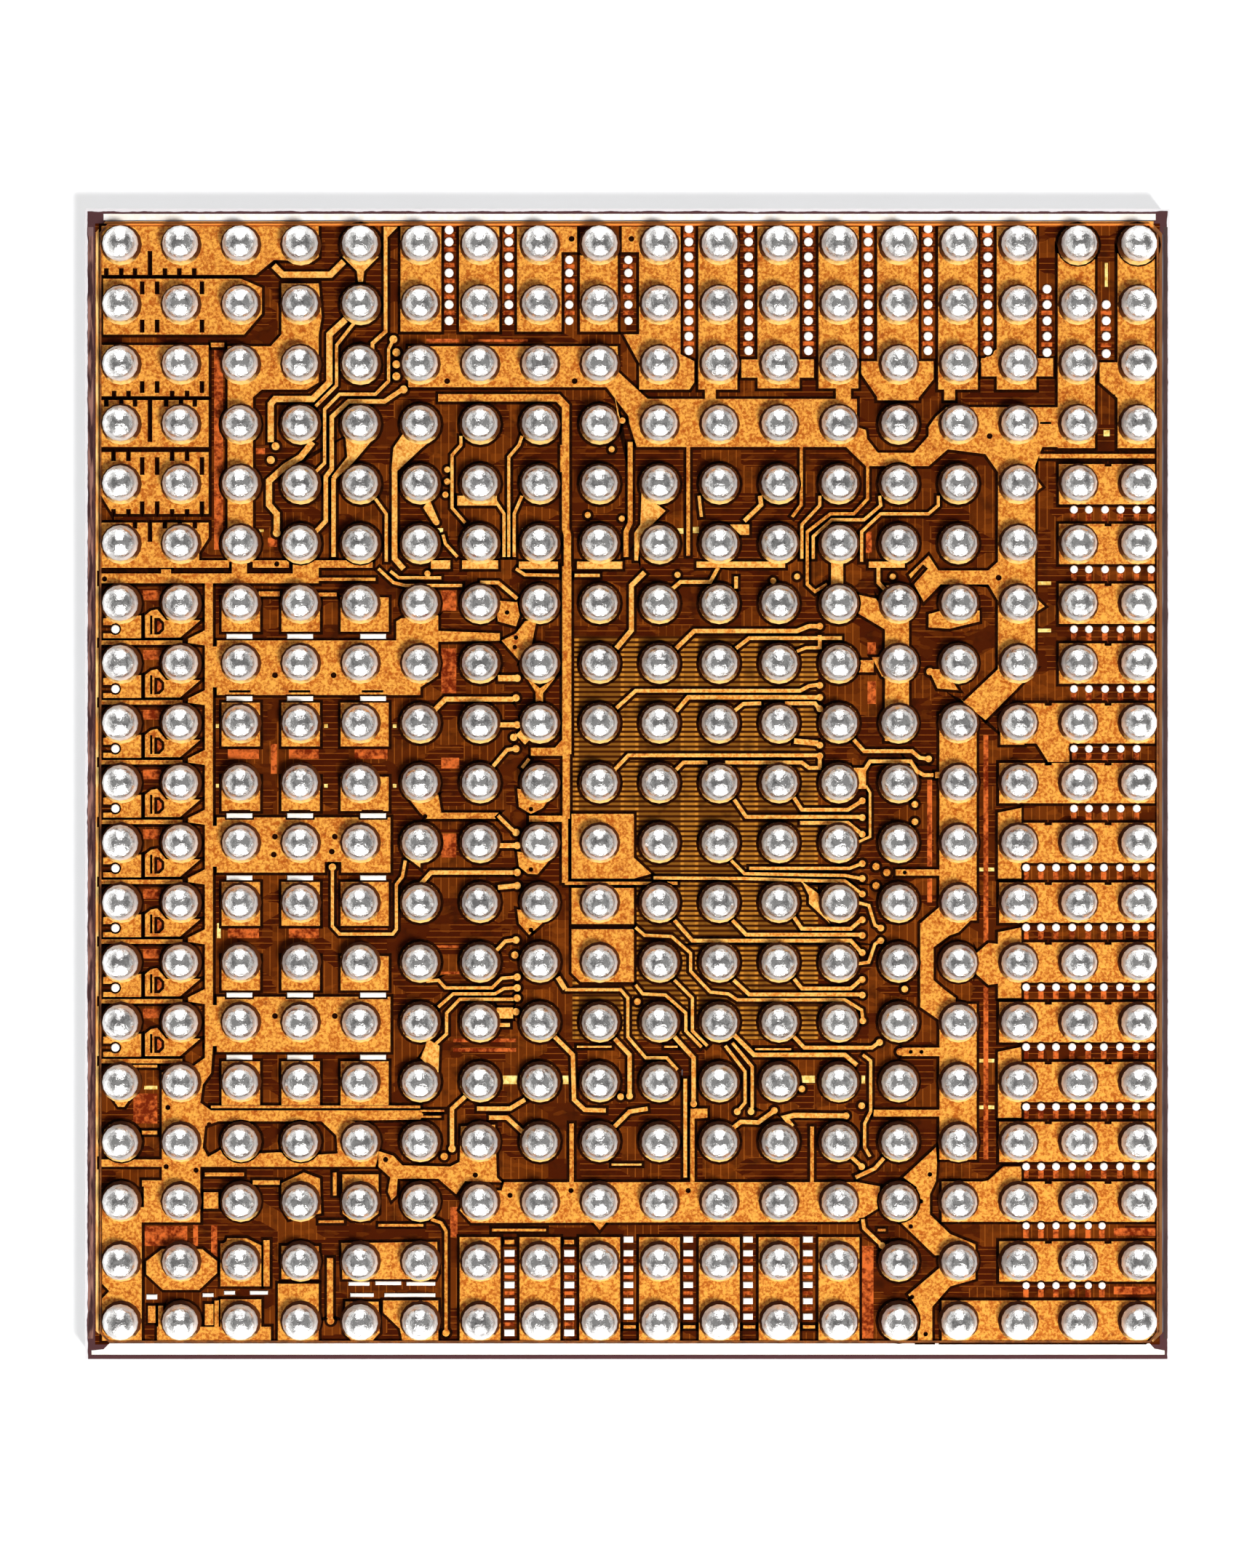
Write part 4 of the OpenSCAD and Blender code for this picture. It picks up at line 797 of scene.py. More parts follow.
@dataclass(frozen=True)
class LaserFinish(Finish):
    """Laser-roughened film in the pin mark."""

    title: str = "laser_mark"
    dark: Tint = Tint(46, 46, 52)
    light: Tint = Tint(150, 150, 152)

    def paint(self, graph: Graph) -> None:
        """Pale curls on dark grey.

        Args:
            graph: The empty graph.
        """
        curl, grain = graph.noise(0.03, 3.0), graph.noise(0.009, 1.0)
        burnt = abs(curl - 0.5).above(0.09, 0.02) * 0.6 + grain.above(0.5, 0.75) * 0.4
        graph.surface(
            {
                "Base Color": graph.mix(self.dark, self.light, burnt),
                "Roughness": grain * 0.3 + 0.5,
                "Normal": graph.bump(curl + grain, 0.004, 0.6),
            }
        )


@dataclass(frozen=True)
class Lamp:
    """One soft lamp: its lean and turn in degrees from straight up and the far side, size and level."""

    lean: float
    turn: float
    width: float
    height: float
    level: float
    lights: bool = True
    mirrored: bool = True


class Light(Enum):
    """The studio's lamps: one that lights, and two soft boxes that only gloss shows."""

    KEY = Lamp(29.0, 143.0, 14.0, 14.0, 93.0, mirrored=False)
    FAR = Lamp(65.0, 0.0, 60.0, 126.0, 2.2, lights=False)
    NEAR = Lamp(62.0, 174.0, 96.0, 126.0, 2.3, lights=False)


class Bench:
    """The worktop: shapes are made on it in millimetres and then put in place in metres.

    Vertices no further apart than same_place are one.
    """

    same_place: ClassVar[float] = 0.0004

    @staticmethod
    def clear() -> None:
        """Leaves nothing selected."""
        if bpy.context.object is not None and bpy.context.object.mode != "OBJECT":
            bpy.ops.object.mode_set(mode="OBJECT")
        for thing in bpy.context.view_layer.objects:
            thing.select_set(False)

    @staticmethod
    def hold(piece: bpy.types.Object) -> bpy.types.Object:
        """Selects one piece alone and makes it the active one.

        Args:
            piece: The piece.

        Returns:
            The same piece.
        """
        Bench.clear()
        piece.select_set(True)
        bpy.context.view_layer.objects.active = piece
        return piece

    @staticmethod
    @contextmanager
    def editing(piece: bpy.types.Object, mode: str) -> Iterator[bmesh.types.BMesh]:
        """Holds a piece in edit mode.

        Args:
            piece: The piece to shape.
            mode: What is picked: VERT, EDGE or FACE.

        Yields:
            The mesh being edited, with nothing selected.
        """
        Bench.hold(piece)
        bpy.ops.object.mode_set(mode="EDIT")
        bpy.ops.mesh.select_mode(type=mode)
        bpy.ops.mesh.select_all(action="DESELECT")
        mesh = bmesh.from_edit_mesh(piece.data)
        mesh.normal_update()
        yield mesh
        bpy.ops.object.mode_set(mode="OBJECT")

    @staticmethod
    def pick(piece: bpy.types.Object, items: Iterable[Any], test: Callable[[Any], bool]) -> None:
        """Selects the faces, edges or vertices that pass a test.

        Args:
            piece: The piece in edit mode.
            items: Its faces, edges or vertices.
            test: Says which are taken.
        """
        for item in items:
            item.select_set(bool(test(item)))
        bmesh.update_edit_mesh(piece.data)

    @staticmethod
    def apply(piece: bpy.types.Object, kind: str, settings: Mapping[str, Any]) -> None:
        """Adds one modifier and applies it.

        Args:
            piece: The piece.
            kind: The modifier's type.
            settings: Its properties.
        """
        Bench.hold(piece)
        modifier = piece.modifiers.new(kind.title(), kind)
        for name, setting in settings.items():
            setattr(modifier, name, setting)
        bpy.ops.object.modifier_apply(modifier=modifier.name)

    @staticmethod
    def twin(piece: bpy.types.Object, name: str) -> bpy.types.Object:
        """A second piece with its own copy of the mesh.

        Args:
            piece: The first piece, which is left as it is.
            name: The second one's name.

        Returns:
            The second piece.
        """
        second = bpy.data.objects.new(name, piece.data.copy())
        bpy.context.scene.collection.objects.link(second)
        return second

    @staticmethod
    def repeated(one: bpy.types.Object, places: Iterable[Matrix]) -> bpy.types.Object:
        """Copies one shape to every place and joins the copies.

        Args:
            one: The modelled shape, used up here.
            places: Where each copy goes.

        Returns:
            All the copies as one piece.
        """
        copies = []
        for number, place in enumerate(places):
            copy = Bench.twin(one, f"copy_{number}")
            copy.data.transform(place)
            copies.append(copy)
        bpy.data.objects.remove(one)
        Bench.hold(copies[0])
        for copy in copies:
            copy.select_set(True)
        bpy.ops.object.join()
        return bpy.context.object

    @staticmethod
    def box(name: str) -> tuple[Vector, Vector]:
        """A solid's lowest and highest corner, in millimetres."""
        low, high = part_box(name)
        return low / MILLIMETRE, high / MILLIMETRE

    @staticmethod
    def heights(piece: bpy.types.Object) -> tuple[float, float]:
        """How high a mesh's lowest and highest vertices lie."""
        levels = [vertex.co.z for vertex in piece.data.vertices]
        return min(levels), max(levels)

    @staticmethod
    def copy_of(node: bpy.types.Object, name: str) -> bpy.types.Object:
        """A merged copy of a solid's mesh, in millimetres.

        Args:
            node: The solid, which is left as it is.
            name: The new piece's name.

        Returns:
            The copy, with its loose triangles joined up.
        """
        piece = Bench.twin(node, name)
        piece.data.materials.clear()
        piece.data.transform(Matrix.Scale(1 / MILLIMETRE, 4))
        with Bench.editing(piece, "FACE"):
            bpy.ops.mesh.select_all(action="SELECT")
            bpy.ops.mesh.remove_doubles(threshold=Bench.same_place)
        return piece

    @staticmethod
    def join(body: bpy.types.Object, part: bpy.types.Object) -> None:
        """Joins a part into a body, which keeps its name.

        Args:
            body: The body.
            part: The part, used up here.
        """
        Bench.hold(body)
        part.select_set(True)
        bpy.ops.object.join()

    @staticmethod
    def finished(
        piece: bpy.types.Object, slot: str, finishes: Sequence[Finish], nodes: Sequence[str] = ()
    ) -> bpy.types.Object:
        """Puts a piece in its place in the part.

        Args:
            piece: The piece, modelled in millimetres round the part's origin.
            slot: The record's material slot. It is not used.
            finishes: Its finishes, in the order of its faces' material numbers.
            nodes: The solids that it stands for.

        Returns:
            The piece.
        """
        piece.data.transform(Matrix.Scale(MILLIMETRE, 4))
        piece.data.update()
        for finish in finishes:
            piece.data.materials.append(finish.material())
        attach(piece, "root")
        if nodes:
            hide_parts(*nodes)
        return piece


@dataclass
class SolderBalls:
    """The grid of solder balls, one piece to each lettered row."""

    segments: int = 16
    rings: int = 8
    smooth_up_to: float = math.radians(50)
    built: list[bpy.types.Object] = field(default_factory=list)

    def build(self) -> int:
        """Models one ball, then one row, and copies it to every row.

        Returns:
            The number of rows.
        """
        low, high = Bench.box("ball_row_a")
        radius = (high.y - low.y) / 2
        pitch = (high.x - low.x - 2 * radius) / (COLUMNS - 1)
        centre = Vector((low.x + radius, (low.y + high.y) / 2, high.z - radius))
        finish = SolderFinish(pitch=pitch, first_column=centre.x, first_row=centre.y)
        row = self._row(self._ball(radius, low.z - centre.z), centre, pitch)
        for letter in ROWS:
            self.built.append(self._placed(row, letter, centre.y, finish))
        bpy.data.objects.remove(row)
        return len(self.built)

    def _ball(self, radius: float, floor: float) -> bpy.types.Object:
        """One ball with its foot cut flat.

        Args:
            radius: The ball's radius.
            floor: How far its foot lies under its centre, below zero.

        Returns:
            The ball at the origin.
        """
        Bench.clear()
        bpy.ops.mesh.primitive_uv_sphere_add(
            segments=self.segments, ring_count=self.rings, radius=radius, location=(0, 0, 0)
        )
        ball = bpy.context.object
        with Bench.editing(ball, "FACE"):
            bpy.ops.mesh.select_all(action="SELECT")
            bpy.ops.mesh.bisect(
                plane_co=(0, 0, floor), plane_no=(0, 0, 1), use_fill=True, clear_inner=True, threshold=1e-5
            )
        Bench.hold(ball)
        bpy.ops.object.shade_smooth_by_angle(angle=self.smooth_up_to)
        return ball

    @staticmethod
    def _row(ball: bpy.types.Object, centre: Vector, pitch: float) -> bpy.types.Object:
        """A row of balls, each turned a little from the last.

        Args:
            ball: The modelled ball, used up here.
            centre: The first ball's centre.
            pitch: The step from ball to ball.

        Returns:
            The row as one piece.
        """
        dice = random.Random(5)
        places = [
            Matrix.Translation(centre + Vector((pitch * column, 0, 0)))
            @ Matrix.Rotation(dice.uniform(0, math.tau), 4, "Z")
            for column in range(COLUMNS)
        ]
        return Bench.repeated(ball, places)

    @staticmethod
    def _placed(
        row: bpy.types.Object, letter: str, from_y: float, finish: Finish
    ) -> bpy.types.Object:
        """A copy of the row over its solid.

        Args:
            row: The modelled row.
            letter: The row's letter.
            from_y: Where the modelled row lies.
            finish: The solder.

        Returns:
            The finished row.
        """
        low, high = Bench.box(f"ball_row_{letter}")
        piece = Bench.twin(row, f"solder_row_{letter}")
        piece.data.transform(Matrix.Translation((0, (low.y + high.y) / 2 - from_y, 0)))
        return Bench.finished(piece, "solder", [finish], [f"ball_row_{letter}"])


@dataclass
class Wiring:
    """The copper, with a painted highlight on its sloped lips and a painted shadow along its feet, and the
    white vias.

    Widths and heights are in millimetres. Every piece stands the lift above the die face, so that no
    two faces share a plane, and vertices within the sole of a piece's underside belong to it.
    """

    lip: float = 0.006
    lip_rise: float = 0.002
    lip_start: float = 0.0002
    lip_depth: float = 0.001
    via_lip: float = 0.005
    foot: float = 0.02
    foot_height: float = 0.0006
    lift: float = 0.0001
    sole: float = 0.001
    copper: Finish = CopperFinish()
    # Painted highlight: the lips' brighter copper stands for light caught by the top edges.
    bright: Finish = CopperFinish(
        title="copper_lip",
        dark=Tint(236, 156, 62),
        light=Tint(255, 210, 116),
        spot=Tint(214, 126, 44),
        roughness=0.3,
    )
    thin: Finish = CopperFinish(title="trace_copper", dark=Tint(222, 134, 44), light=Tint(255, 200, 102))
    # Painted shadow: a dark sheet laid round the foot of the copper.
    shadow: Finish = MetalFinish(
        title="painted_foot_shadow",
        dark=Tint(20, 6, 1),
        light=Tint(40, 14, 3),
        size=0.02,
        metallic=0.0,
        roughness=0.7,
        gloss=0.02,
    )
    # Painted highlight: the vias are painted near white, as their small domes catch the light.
    white: Finish = MetalFinish(
        title="white_via",
        dark=Tint(252, 246, 234),
        light=Tint(255, 254, 250),
        size=0.02,
        metallic=0.0,
        roughness=0.35,
    )

    def build(self, nodes: Mapping[str, bpy.types.Object]) -> int:
        """Builds every piece of the wiring.

        Args:
            nodes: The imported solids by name.

        Returns:
            The number of pieces.
        """
        ground = Bench.box("die_passivation")[1].z
        made = 0
        for name, node in sorted(nodes.items()):
            if name.startswith(("pours_", "traces_")):
                face = self.copper if name.startswith("pours_") else self.thin
                made += self._copper(name, node, ground, face)
            elif name.startswith("via_"):
                piece = Bench.copy_of(node, f"metal_{name}")
                self._chamfer(piece)
                self._stand(piece, ground)
                Bench.finished(piece, "via_metal", [self.white], [name])
                made += 1
        return made

    def _copper(self, name: str, node: bpy.types.Object, ground: float, face: Finish) -> int:
        """One group of copper pieces with its lip, and the dark line round its foot.

        Args:
            name: The solid's name.
            node: The solid.
            ground: The die face's height.
            face: The finish of the copper's flat top.

        Returns:
            The number of pieces.
        """
        body = Bench.copy_of(node, f"copper_{name}")
        walls = self._walls(body)
        self._stand(body, ground)
        self._foot(walls, ground, f"foot_{name}")
        Bench.join(body, self._lip(walls))
        Bench.finished(body, "copper", [face, self.bright], [name])
        bpy.data.objects.remove(walls)
        return 2

    @staticmethod
    def _walls(body: bpy.types.Object) -> bpy.types.Object:
        """A copy of a piece's upright sides alone.

        Args:
            body: The merged copy of the solid.

        Returns:
            The sides, open above and below.
        """
        walls = Bench.twin(body, "walls")
        with Bench.editing(walls, "FACE") as mesh:
            Bench.pick(walls, mesh.faces, lambda face: abs(face.normal.z) > 0.5)
            bpy.ops.mesh.delete(type="ONLY_FACE")
        return walls

    def _stand(self, piece: bpy.types.Object, ground: float) -> None:
        """Brings a piece's underside down onto the die face.

        Args:
            piece: The piece in millimetres.
            ground: The die face's height.
        """
        floor, _ = Bench.heights(piece)
        for vertex in piece.data.vertices:
            if vertex.co.z < floor + self.sole:
                vertex.co.z = ground + self.lift

    @staticmethod
    def _shell(
        walls: bpy.types.Object, name: str, width: float, side: float
    ) -> tuple[bpy.types.Object, int]:
        """The sides, thickened.

        Args:
            walls: A piece's upright sides.
            name: The new piece's name.
            width: How thick they become.
            side: 1 for outwards or -1 for inwards.

        Returns:
            The shell, and how many of its vertices belong to the sides themselves.
        """
        shell = Bench.twin(walls, name)
        own = len(shell.data.vertices)
        Bench.apply(
            shell,
            "SOLIDIFY",
            {"thickness": width, "offset": side, "use_even_offset": True, "use_rim": True},
        )
        return shell, own

    def _lip(self, walls: bpy.types.Object) -> bpy.types.Object:
        """The lip along a piece's top edges, painted bright as a highlight.

        Args:
            walls: The piece's upright sides.

        Returns:
            The lip, which slopes up and inwards from the edge.
        """
        shell, own = self._shell(walls, "lip", self.lip, -1.0)
        floor, top = Bench.heights(shell)
        for number, vertex in enumerate(shell.data.vertices):
            if vertex.co.z < (floor + top) / 2:
                vertex.co.z = top - self.lip_depth
            else:
                vertex.co.z = top + (self.lip_start if number < own else self.lip_rise)
        for face in shell.data.polygons:
            face.material_index = 1
        return shell

    def _foot(self, walls: bpy.types.Object, ground: float, name: str) -> None:
        """Lays a painted shadow, a dark line, round the foot of a piece of copper.

        Args:
            walls: The piece's upright sides.
            ground: The die face's height.
            name: The new piece's name.
        """
        shell, _ = self._shell(walls, name, self.foot, 1.0)
        floor, top = Bench.heights(shell)
        for vertex in shell.data.vertices:
            is_upper = vertex.co.z > (floor + top) / 2
            vertex.co.z = ground + (self.foot_height if is_upper else self.lift)
        Bench.finished(shell, "copper", [self.shadow])

    def _chamfer(self, piece: bpy.types.Object) -> None:
        """Chamfers the top edges of small metal dots and bars.

        Args:
            piece: The merged copy of the solid.
        """
        with Bench.editing(piece, "FACE"):
            bpy.ops.mesh.select_all(action="SELECT")
            bpy.ops.mesh.dissolve_limited(angle_limit=math.radians(1))
        with Bench.editing(piece, "EDGE") as mesh:
            Bench.pick(piece, mesh.edges, self._is_top_edge)
            bpy.ops.mesh.bevel(
                offset_type="OFFSET", offset=self.via_lip, segments=1, affect="EDGES", clamp_overlap=False
            )

    @staticmethod
    def _is_top_edge(edge: bmesh.types.BMEdge) -> bool:
        """True for an edge between a top face and a side."""
        facing = sorted(face.normal.z for face in edge.link_faces)
        return len(facing) == 2 and facing[1] > 0.9 and abs(facing[0]) < 0.3


@dataclass
class ClearFilms:
    """The two clear polyimide films, shown where they end: at the sheet's edge and round each ball.

    The edge is the width of the bands, and swell and crest are the radii of a collar's foot and top.
    A side of the upper film within reach of its outline is its outer edge. All are in millimetres.
    """

    sides: int = 16
    edge: float = 0.012
    swell: float = 0.138
    crest: float = 0.121
    reach: float = 0.12

    def build(self, nodes: Mapping[str, bpy.types.Object]) -> int:
        """Builds the films' edges and the collars.

        Args:
            nodes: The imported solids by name.

        Returns:
            The number of pieces.
        """
        box = Bench.box("upper_polyimide")
        # The far tints are painted light along the films' far side.
        lower = FilmFinish(
            title="lower_film",
            thin=Tint(104, 54, 18),
            thick=Tint(66, 30, 9),
            far=Tint(236, 124, 44),
            far_side=box[1].y,
        )
        upper = FilmFinish(
            title="upper_film",
            thin=Tint(146, 84, 34),
            thick=Tint(100, 54, 20),
            far=Tint(244, 140, 52),
            far_side=box[1].y,
        )
        self._frame(nodes["lower_polyimide"], lower)
        self._frame(nodes["upper_polyimide"], upper, box)
        collars, finish = self._collars()
        Bench.finished(collars, "polyimide", [finish])
        return 3

    def _frame(
        self,
        node: bpy.types.Object,
        finish: Finish,
        outer: tuple[Vector, Vector] | None = None,
    ) -> None:
        """The outer edge of a film as a narrow band.

        Args:
            node: The film's solid.
            finish: The film's finish.
            outer: The film's box, given where it has openings to leave out.
        """
        piece = Bench.copy_of(node, f"{finish.title}_edge")

        def dropped(face: bmesh.types.BMFace) -> bool:
            """True for a flat face, and for a side that isn't at the sheet's outer edge.

            Args:
                face: A face of the film.

            Returns:
                Whether it goes.
            """
            if abs(face.normal.z) > 0.5:
                return True
            if outer is None:
                return False
            middle = face.calc_center_median()
            low, high = outer
            inset = min(middle.x - low.x, high.x - middle.x, middle.y - low.y, high.y - middle.y)
            return inset > self.reach

        with Bench.editing(piece, "FACE") as mesh:
            Bench.pick(piece, mesh.faces, dropped)
            bpy.ops.mesh.delete(type="ONLY_FACE")
        with Bench.editing(piece, "VERT") as mesh:
            Bench.pick(piece, mesh.verts, lambda vertex: not vertex.link_faces)
            bpy.ops.mesh.delete(type="VERT")
        Bench.apply(
            piece,
            "SOLIDIFY",
            {"thickness": self.edge, "offset": -1.0, "use_even_offset": True, "use_rim": True},
        )
        Bench.finished(piece, "polyimide", [finish], [node.name])

    def _collars(self) -> tuple[bpy.types.Object, Finish]:
        """The swell of the upper film round the foot of each ball, modelled once and copied.

        Returns:
            All the collars as one piece, and their finish.
        """
        ground = Bench.box("die_passivation")[1].z
        copper_top, film_top = (corner.z for corner in Bench.box("upper_polyimide"))
        low, high = Bench.box("ball_row_a")
        radius = (high.y - low.y) / 2
        step = (high.x - low.x - 2 * radius) / (COLUMNS - 1)
        Bench.clear()
        bpy.ops.mesh.primitive_cylinder_add(
            vertices=self.sides, radius=self.swell, depth=copper_top - ground, location=(0, 0, 0)
        )
        one = bpy.context.object
        with Bench.editing(one, "FACE") as mesh:
            Bench.pick(one, mesh.faces, lambda face: face.normal.z < -0.5)
            bpy.ops.mesh.delete(type="FACE")
        with Bench.editing(one, "FACE") as mesh:
            Bench.pick(one, mesh.faces, lambda face: face.normal.z > 0.5)
            bpy.ops.mesh.inset(thickness=self.swell - self.crest, depth=film_top - copper_top)
            bpy.ops.mesh.inset(thickness=self.crest - radius * 0.8)
            bpy.ops.mesh.delete(type="FACE")
        places = []
        for letter in ROWS:
            row_low, row_high = Bench.box(f"ball_row_{letter}")
            y = (row_low.y + row_high.y) / 2
            for column in range(COLUMNS):
                x = low.x + radius + column * step
                places.append(Matrix.Translation((x, y, (ground + copper_top) / 2)))
        collars = Bench.repeated(one, places)
        collars.name = "film_collars"
        return collars, SwellFinish(pitch=step, first_row=(low.y + high.y) / 2)


@dataclass
class DieStack:
    """The solids that keep their own shape and get their finish here."""

    dressed: int = 0

    def finishes(self) -> dict[str, Finish]:
        """Which finish each solid wears.

        Returns:
            The finishes by the solid's name.
        """
        strap = MetalFinish(
            title="red_strap",
            dark=Tint(110, 34, 9),
            light=Tint(216, 106, 44),
            size=0.035,
            metallic=0.0,
            roughness=0.5,
            gloss=0.02,
        )
        yellow = MetalFinish(
            title="gold_mark",
            dark=Tint(226, 176, 74),
            light=Tint(255, 240, 150),
            size=0.03,
            metallic=0.1,
            roughness=0.35,
        )
        # Painted reflection: the strips at the die's edge are painted near white, as they catch the light.
        painted_strip_reflection = MetalFinish(
            title="edge_strip_painted_reflection",
            dark=Tint(252, 244, 232),
            light=Tint(255, 255, 252),
            size=0.05,
            metallic=0.0,
            roughness=0.5,
        )
        # Painted shade on the right side and painted light on the far side of these rims.
        guard = SidedFinish(
            title="orange_guard",
            dark=Tint(226, 152, 74),
            light=Tint(255, 216, 134),
            right_painted_shade=Tint(112, 62, 34),
            far_painted_light=Tint(255, 176, 84),
            corner=Bench.box("guard_lines")[1],
        )
        band = SidedFinish(
            title="purple_band",
            dark=Tint(58, 32, 32),
            light=Tint(150, 106, 94),
            right_painted_shade=Tint(66, 48, 46),
            far_painted_light=Tint(120, 92, 92),
            corner=Bench.box("edge_bands")[1],
        )
        bump = MetalFinish(
            title="nickel_pad",
            dark=Tint(150, 140, 120),
            light=Tint(200, 190, 170),
            size=0.03,
            metallic=0.7,
            roughness=0.35,
        )
        corner = Bench.box("die_passivation")[1]
        return {
            "backside_film": BackFilmFinish(),
            "silicon_die": SiliconFinish(),
            "die_passivation": DieFaceFinish(half=(corner.x, corner.y)),
            "die_power_straps": strap,
            "die_marks": yellow,
            "edge_strips": painted_strip_reflection,
            "edge_bands": band,
            "guard_lines": guard,
            "under_bump_metal": bump,
        }

    def build(self, nodes: Mapping[str, bpy.types.Object]) -> int:
        """Dresses the solids.

        Args:
            nodes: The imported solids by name.

        Returns:
            How many were dressed.
        """
        for name, finish in self.finishes().items():
            mesh = nodes[name].data
            mesh.materials.clear()
            mesh.materials.append(finish.material())
            self.dressed += 1
        return self.dressed


@dataclass
class LaserDot:
    """The rough round mark for the first ball, burnt into the back film. Lengths are in millimetres."""

    from_corner: tuple[float, float] = (0.65, 0.7)
    decimals: int = 6
    radius: float = 0.147
    floor: float = 0.0076
    relief: float = 0.0045
    rings: int = 9
    curls: float = 150.0
    arms: int = 3
    finish: Finish = LaserFinish()

    def build(self) -> bpy.types.Object:
        """Models the burnt floor of the mark.

        Returns:
            The finished piece, facing down.
        """
        corner = Bench.box("backside_film")[1]
        middle = [round(side - gap, self.decimals) for side, gap in zip(corner, self.from_corner)]
        Bench.clear()
        bpy.ops.mesh.primitive_circle_add(
            vertices=48, radius=self.radius, fill_type="NGON", location=(*middle, self.floor)
        )
        piece = bpy.context.object
        piece.name = "laser_dot"
        piece.data.transform(Matrix.Translation(piece.location))
        piece.location = (0, 0, 0)
        with Bench.editing(piece, "FACE") as mesh:
            Bench.pick(piece, mesh.faces, lambda face: True)
            for _ in range(self.rings):
                bpy.ops.mesh.inset(thickness=self.radius / (self.rings + 1), use_even_offset=True)
            bpy.ops.mesh.poke()
            bpy.ops.mesh.select_all(action="SELECT")
            bpy.ops.mesh.flip_normals()
        self._burn(piece, middle)
        Bench.hold(piece)
        bpy.ops.object.shade_smooth()
        return Bench.finished(piece, "back_film", [self.finish])

    def _burn(self, piece: bpy.types.Object, middle: Sequence[float]) -> None:
        """Raises uneven curls on the floor of the mark, all but its edge.

        Args:
            piece: The ringed disc.
            middle: The mark's middle, across and along.
        """
        dice = random.Random(11)
        for vertex in piece.data.vertices:
            across, along = vertex.co.x - middle[0], vertex.co.y - middle[1]
            away, turn = math.hypot(across, along), math.atan2(along, across)
            if away < self.radius * 0.97:
                curl = 0.5 + 0.5 * math.sin(away * self.curls + self.arms * turn)
                vertex.co.z -= self.relief * (0.5 * curl + 0.5 * dice.random())


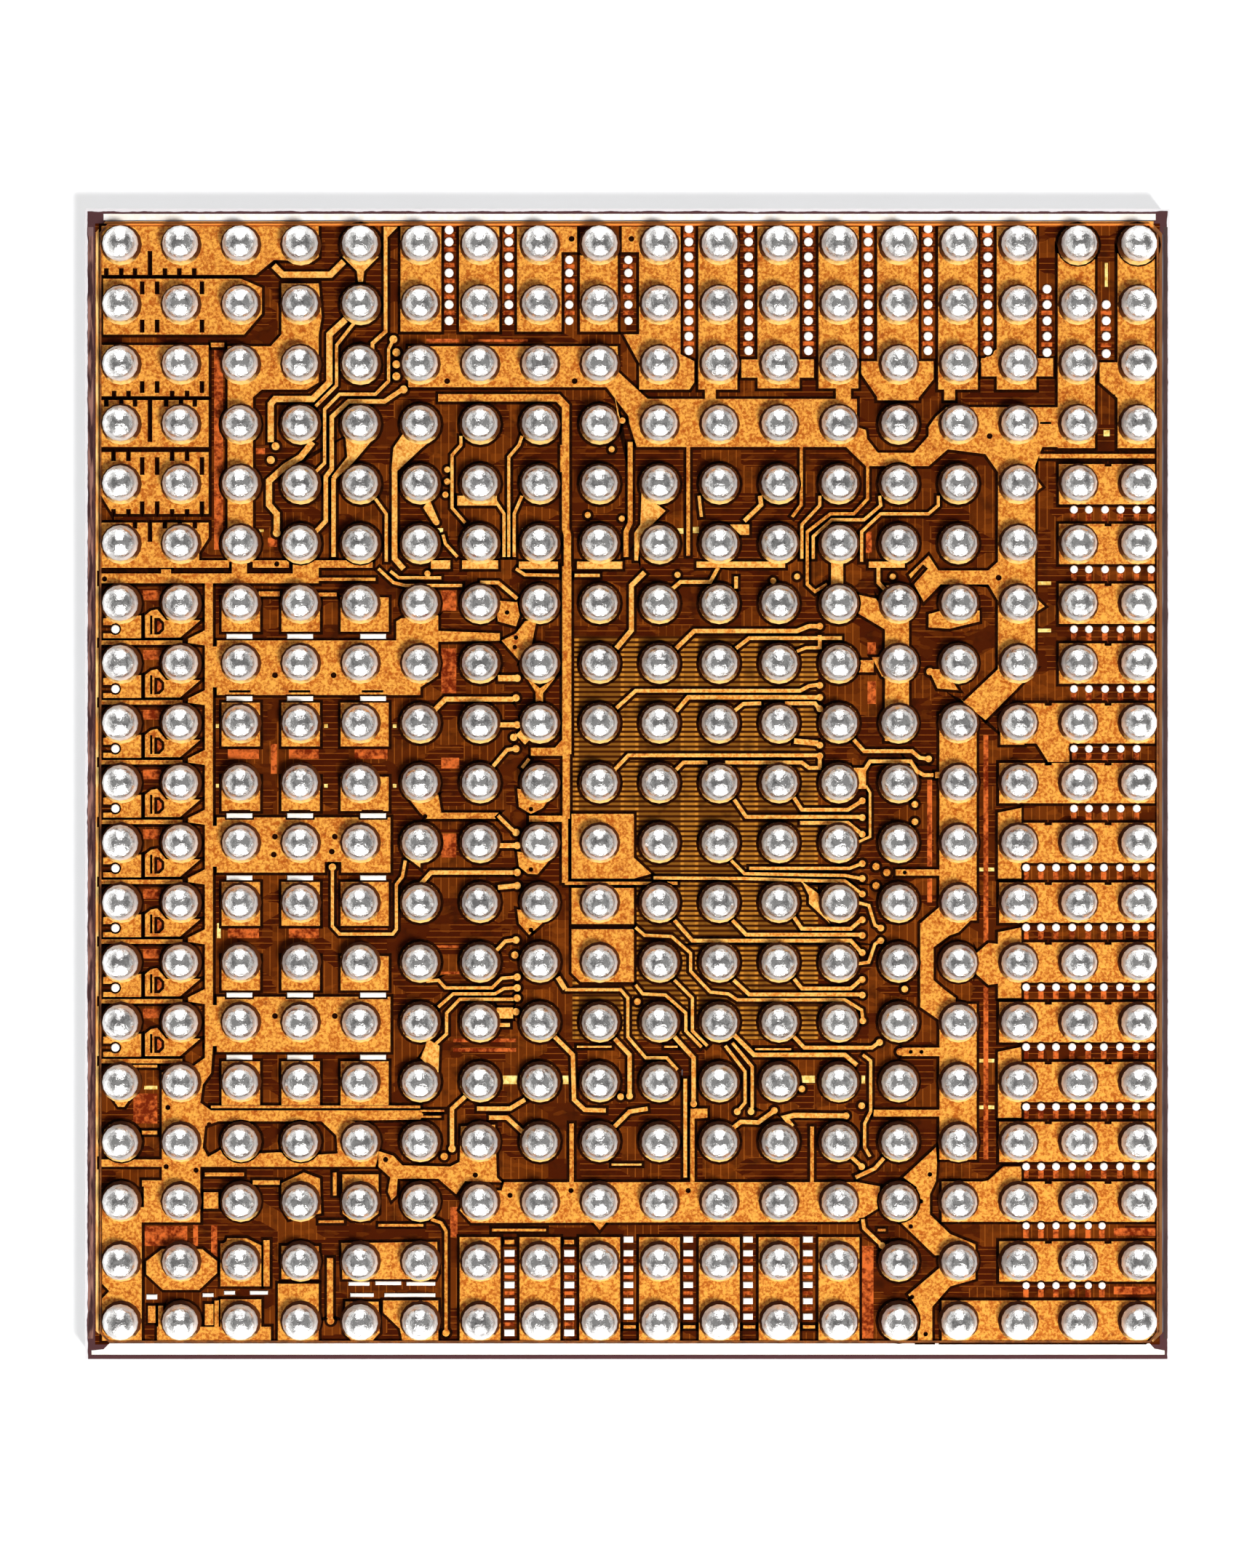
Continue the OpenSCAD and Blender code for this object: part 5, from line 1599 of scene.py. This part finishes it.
@dataclass
class Studio:
    """The floor, the soft lamps, the pale surround and the camera. Lengths are in millimetres."""

    lens: float = 120.0
    sensor: float = 36.0
    share_of_width: float = 0.87
    aspect: float = 1725 / 2156
    floor_size: float = 400.0
    reach: float = 70.0
    ambient: float = 0.34
    ambient_overhead: float = 0.03
    overhead: float = 0.2
    lopsided: float = 0.15
    shown_fade: tuple[float, float] = (0.1, 0.55)
    cast_fade: tuple[float, float] = (0.4, 0.75)
    floor_glow: float = 0.64
    floor_drop: float = 0.01

    def build(self, low: Vector, high: Vector) -> None:
        """Sets up everything round the part.

        Args:
            low: The part's lowest corner.
            high: The part's highest corner.
        """
        self._floor()
        self._surround()
        for light in Light:
            self._lamp(light)
        self._camera(low, high)
        bpy.context.scene.view_settings.view_transform = "Standard"

    def _floor(self) -> None:
        """A plain white floor just under the part."""
        Bench.clear()
        bpy.ops.mesh.primitive_plane_add(size=self.floor_size * MILLIMETRE, location=(0, 0, 0))
        floor = bpy.context.object
        floor.name = "floor"
        floor.data.transform(Matrix.Translation((0, 0, -self.floor_drop * MILLIMETRE)))
        material = bpy.data.materials.new("white_floor")
        material.use_nodes = True
        graph = Graph(material.node_tree)
        glow = graph.mix(Tint(0, 0, 0), Tint(255, 255, 255), graph.seen() * self.floor_glow)
        graph.surface(
            {
                "Base Color": graph.mix(Tint(250, 250, 250), Tint(246, 246, 246), graph.noise(4.0)),
                "Roughness": 0.9,
                "Specular IOR Level": 0.0,
                "Emission Color": glow,
                "Emission Strength": 1.0,
            }
        )
        floor.data.materials.append(material)
        floor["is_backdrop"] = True

    def _surround(self) -> None:
        """A plain surround, white to the eye and to gloss at eye level and greyer overhead."""
        world = bpy.data.worlds.new("surround")
        world.use_nodes = True
        bpy.context.scene.world = world
        graph = Graph(world.node_tree)
        seen = graph.seen()
        heading = graph.node(
            "ShaderNodeSeparateXYZ", None, {0: graph.node("ShaderNodeTexCoord").outputs["Generated"]}
        )
        height, side = (Value(graph, heading.outputs[axis]) for axis in ("Z", "X"))
        shown = 1 - (height + side * self.lopsided).above(*self.shown_fade) * (1 - self.overhead)
        cast = self.ambient - height.above(*self.cast_fade) * (self.ambient - self.ambient_overhead)
        light = seen * shown + (1 - seen) * cast
        back = graph.node(
            "ShaderNodeBackground", None, {"Color": Tint(255, 255, 255), "Strength": light}
        )
        graph.node("ShaderNodeOutputWorld", None, {"Surface": back.outputs["Background"]})

    def _lamp(self, light: Light) -> None:
        """One soft square lamp that faces the part.

        Args:
            light: Which lamp.
        """
        sort = light.value
        tilt, heading = math.radians(sort.lean), math.radians(sort.turn)
        towards = Vector(
            (math.sin(tilt) * math.sin(heading), math.sin(tilt) * math.cos(heading), math.cos(tilt))
        )
        lamp = bpy.data.lights.new(f"lamp_{light.name.lower()}", "AREA")
        lamp.shape = "RECTANGLE"
        lamp.size, lamp.size_y = sort.width * MILLIMETRE, sort.height * MILLIMETRE
        lamp.energy = sort.level * math.pi * lamp.size * lamp.size_y
        stand = bpy.data.objects.new(lamp.name, lamp)
        bpy.context.scene.collection.objects.link(stand)
        stand.location = towards * (self.reach * MILLIMETRE)
        stand.rotation_euler = towards.to_track_quat("Z", "Y").to_euler()
        stand.visible_diffuse = sort.lights
        stand.visible_glossy = sort.mirrored

    def _camera(self, low: Vector, high: Vector) -> None:
        """A long lens straight over the part.

        Args:
            low: The part's lowest corner.
            high: The part's highest corner.
        """
        lens = bpy.data.cameras.new("camera")
        lens.lens, lens.sensor_width = self.lens, self.sensor
        seen_width = (high.x - low.x) / self.share_of_width
        away = seen_width / (self.sensor * self.aspect) * self.lens
        lens.clip_start, lens.clip_end = away * 0.05, away * 50
        camera = bpy.data.objects.new("camera", lens)
        bpy.context.scene.collection.objects.link(camera)
        middle = (low + high) / 2
        camera.location = (middle.x, middle.y, high.z + away)
        bpy.context.scene.camera = camera


def main() -> None:
    """Builds the looks piece by piece and sets the studio round the solids' bounds."""
    logging.basicConfig(level=logging.INFO, format="%(name)s: %(message)s")
    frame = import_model()
    solid_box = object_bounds()
    LOG.info("solder balls: %d rows", SolderBalls().build())
    LOG.info("wiring: %d pieces", Wiring().build(frame["nodes"]))
    LOG.info("clear films: %d pieces", ClearFilms().build(frame["nodes"]))
    LOG.info("die stack: %d solids dressed", DieStack().build(frame["nodes"]))
    LOG.info("laser dot: %s", LaserDot().build().name)
    Studio().build(*solid_box)
    LOG.info("studio: floor, lamps, surround and camera")


if __name__ == "__main__":
    main()
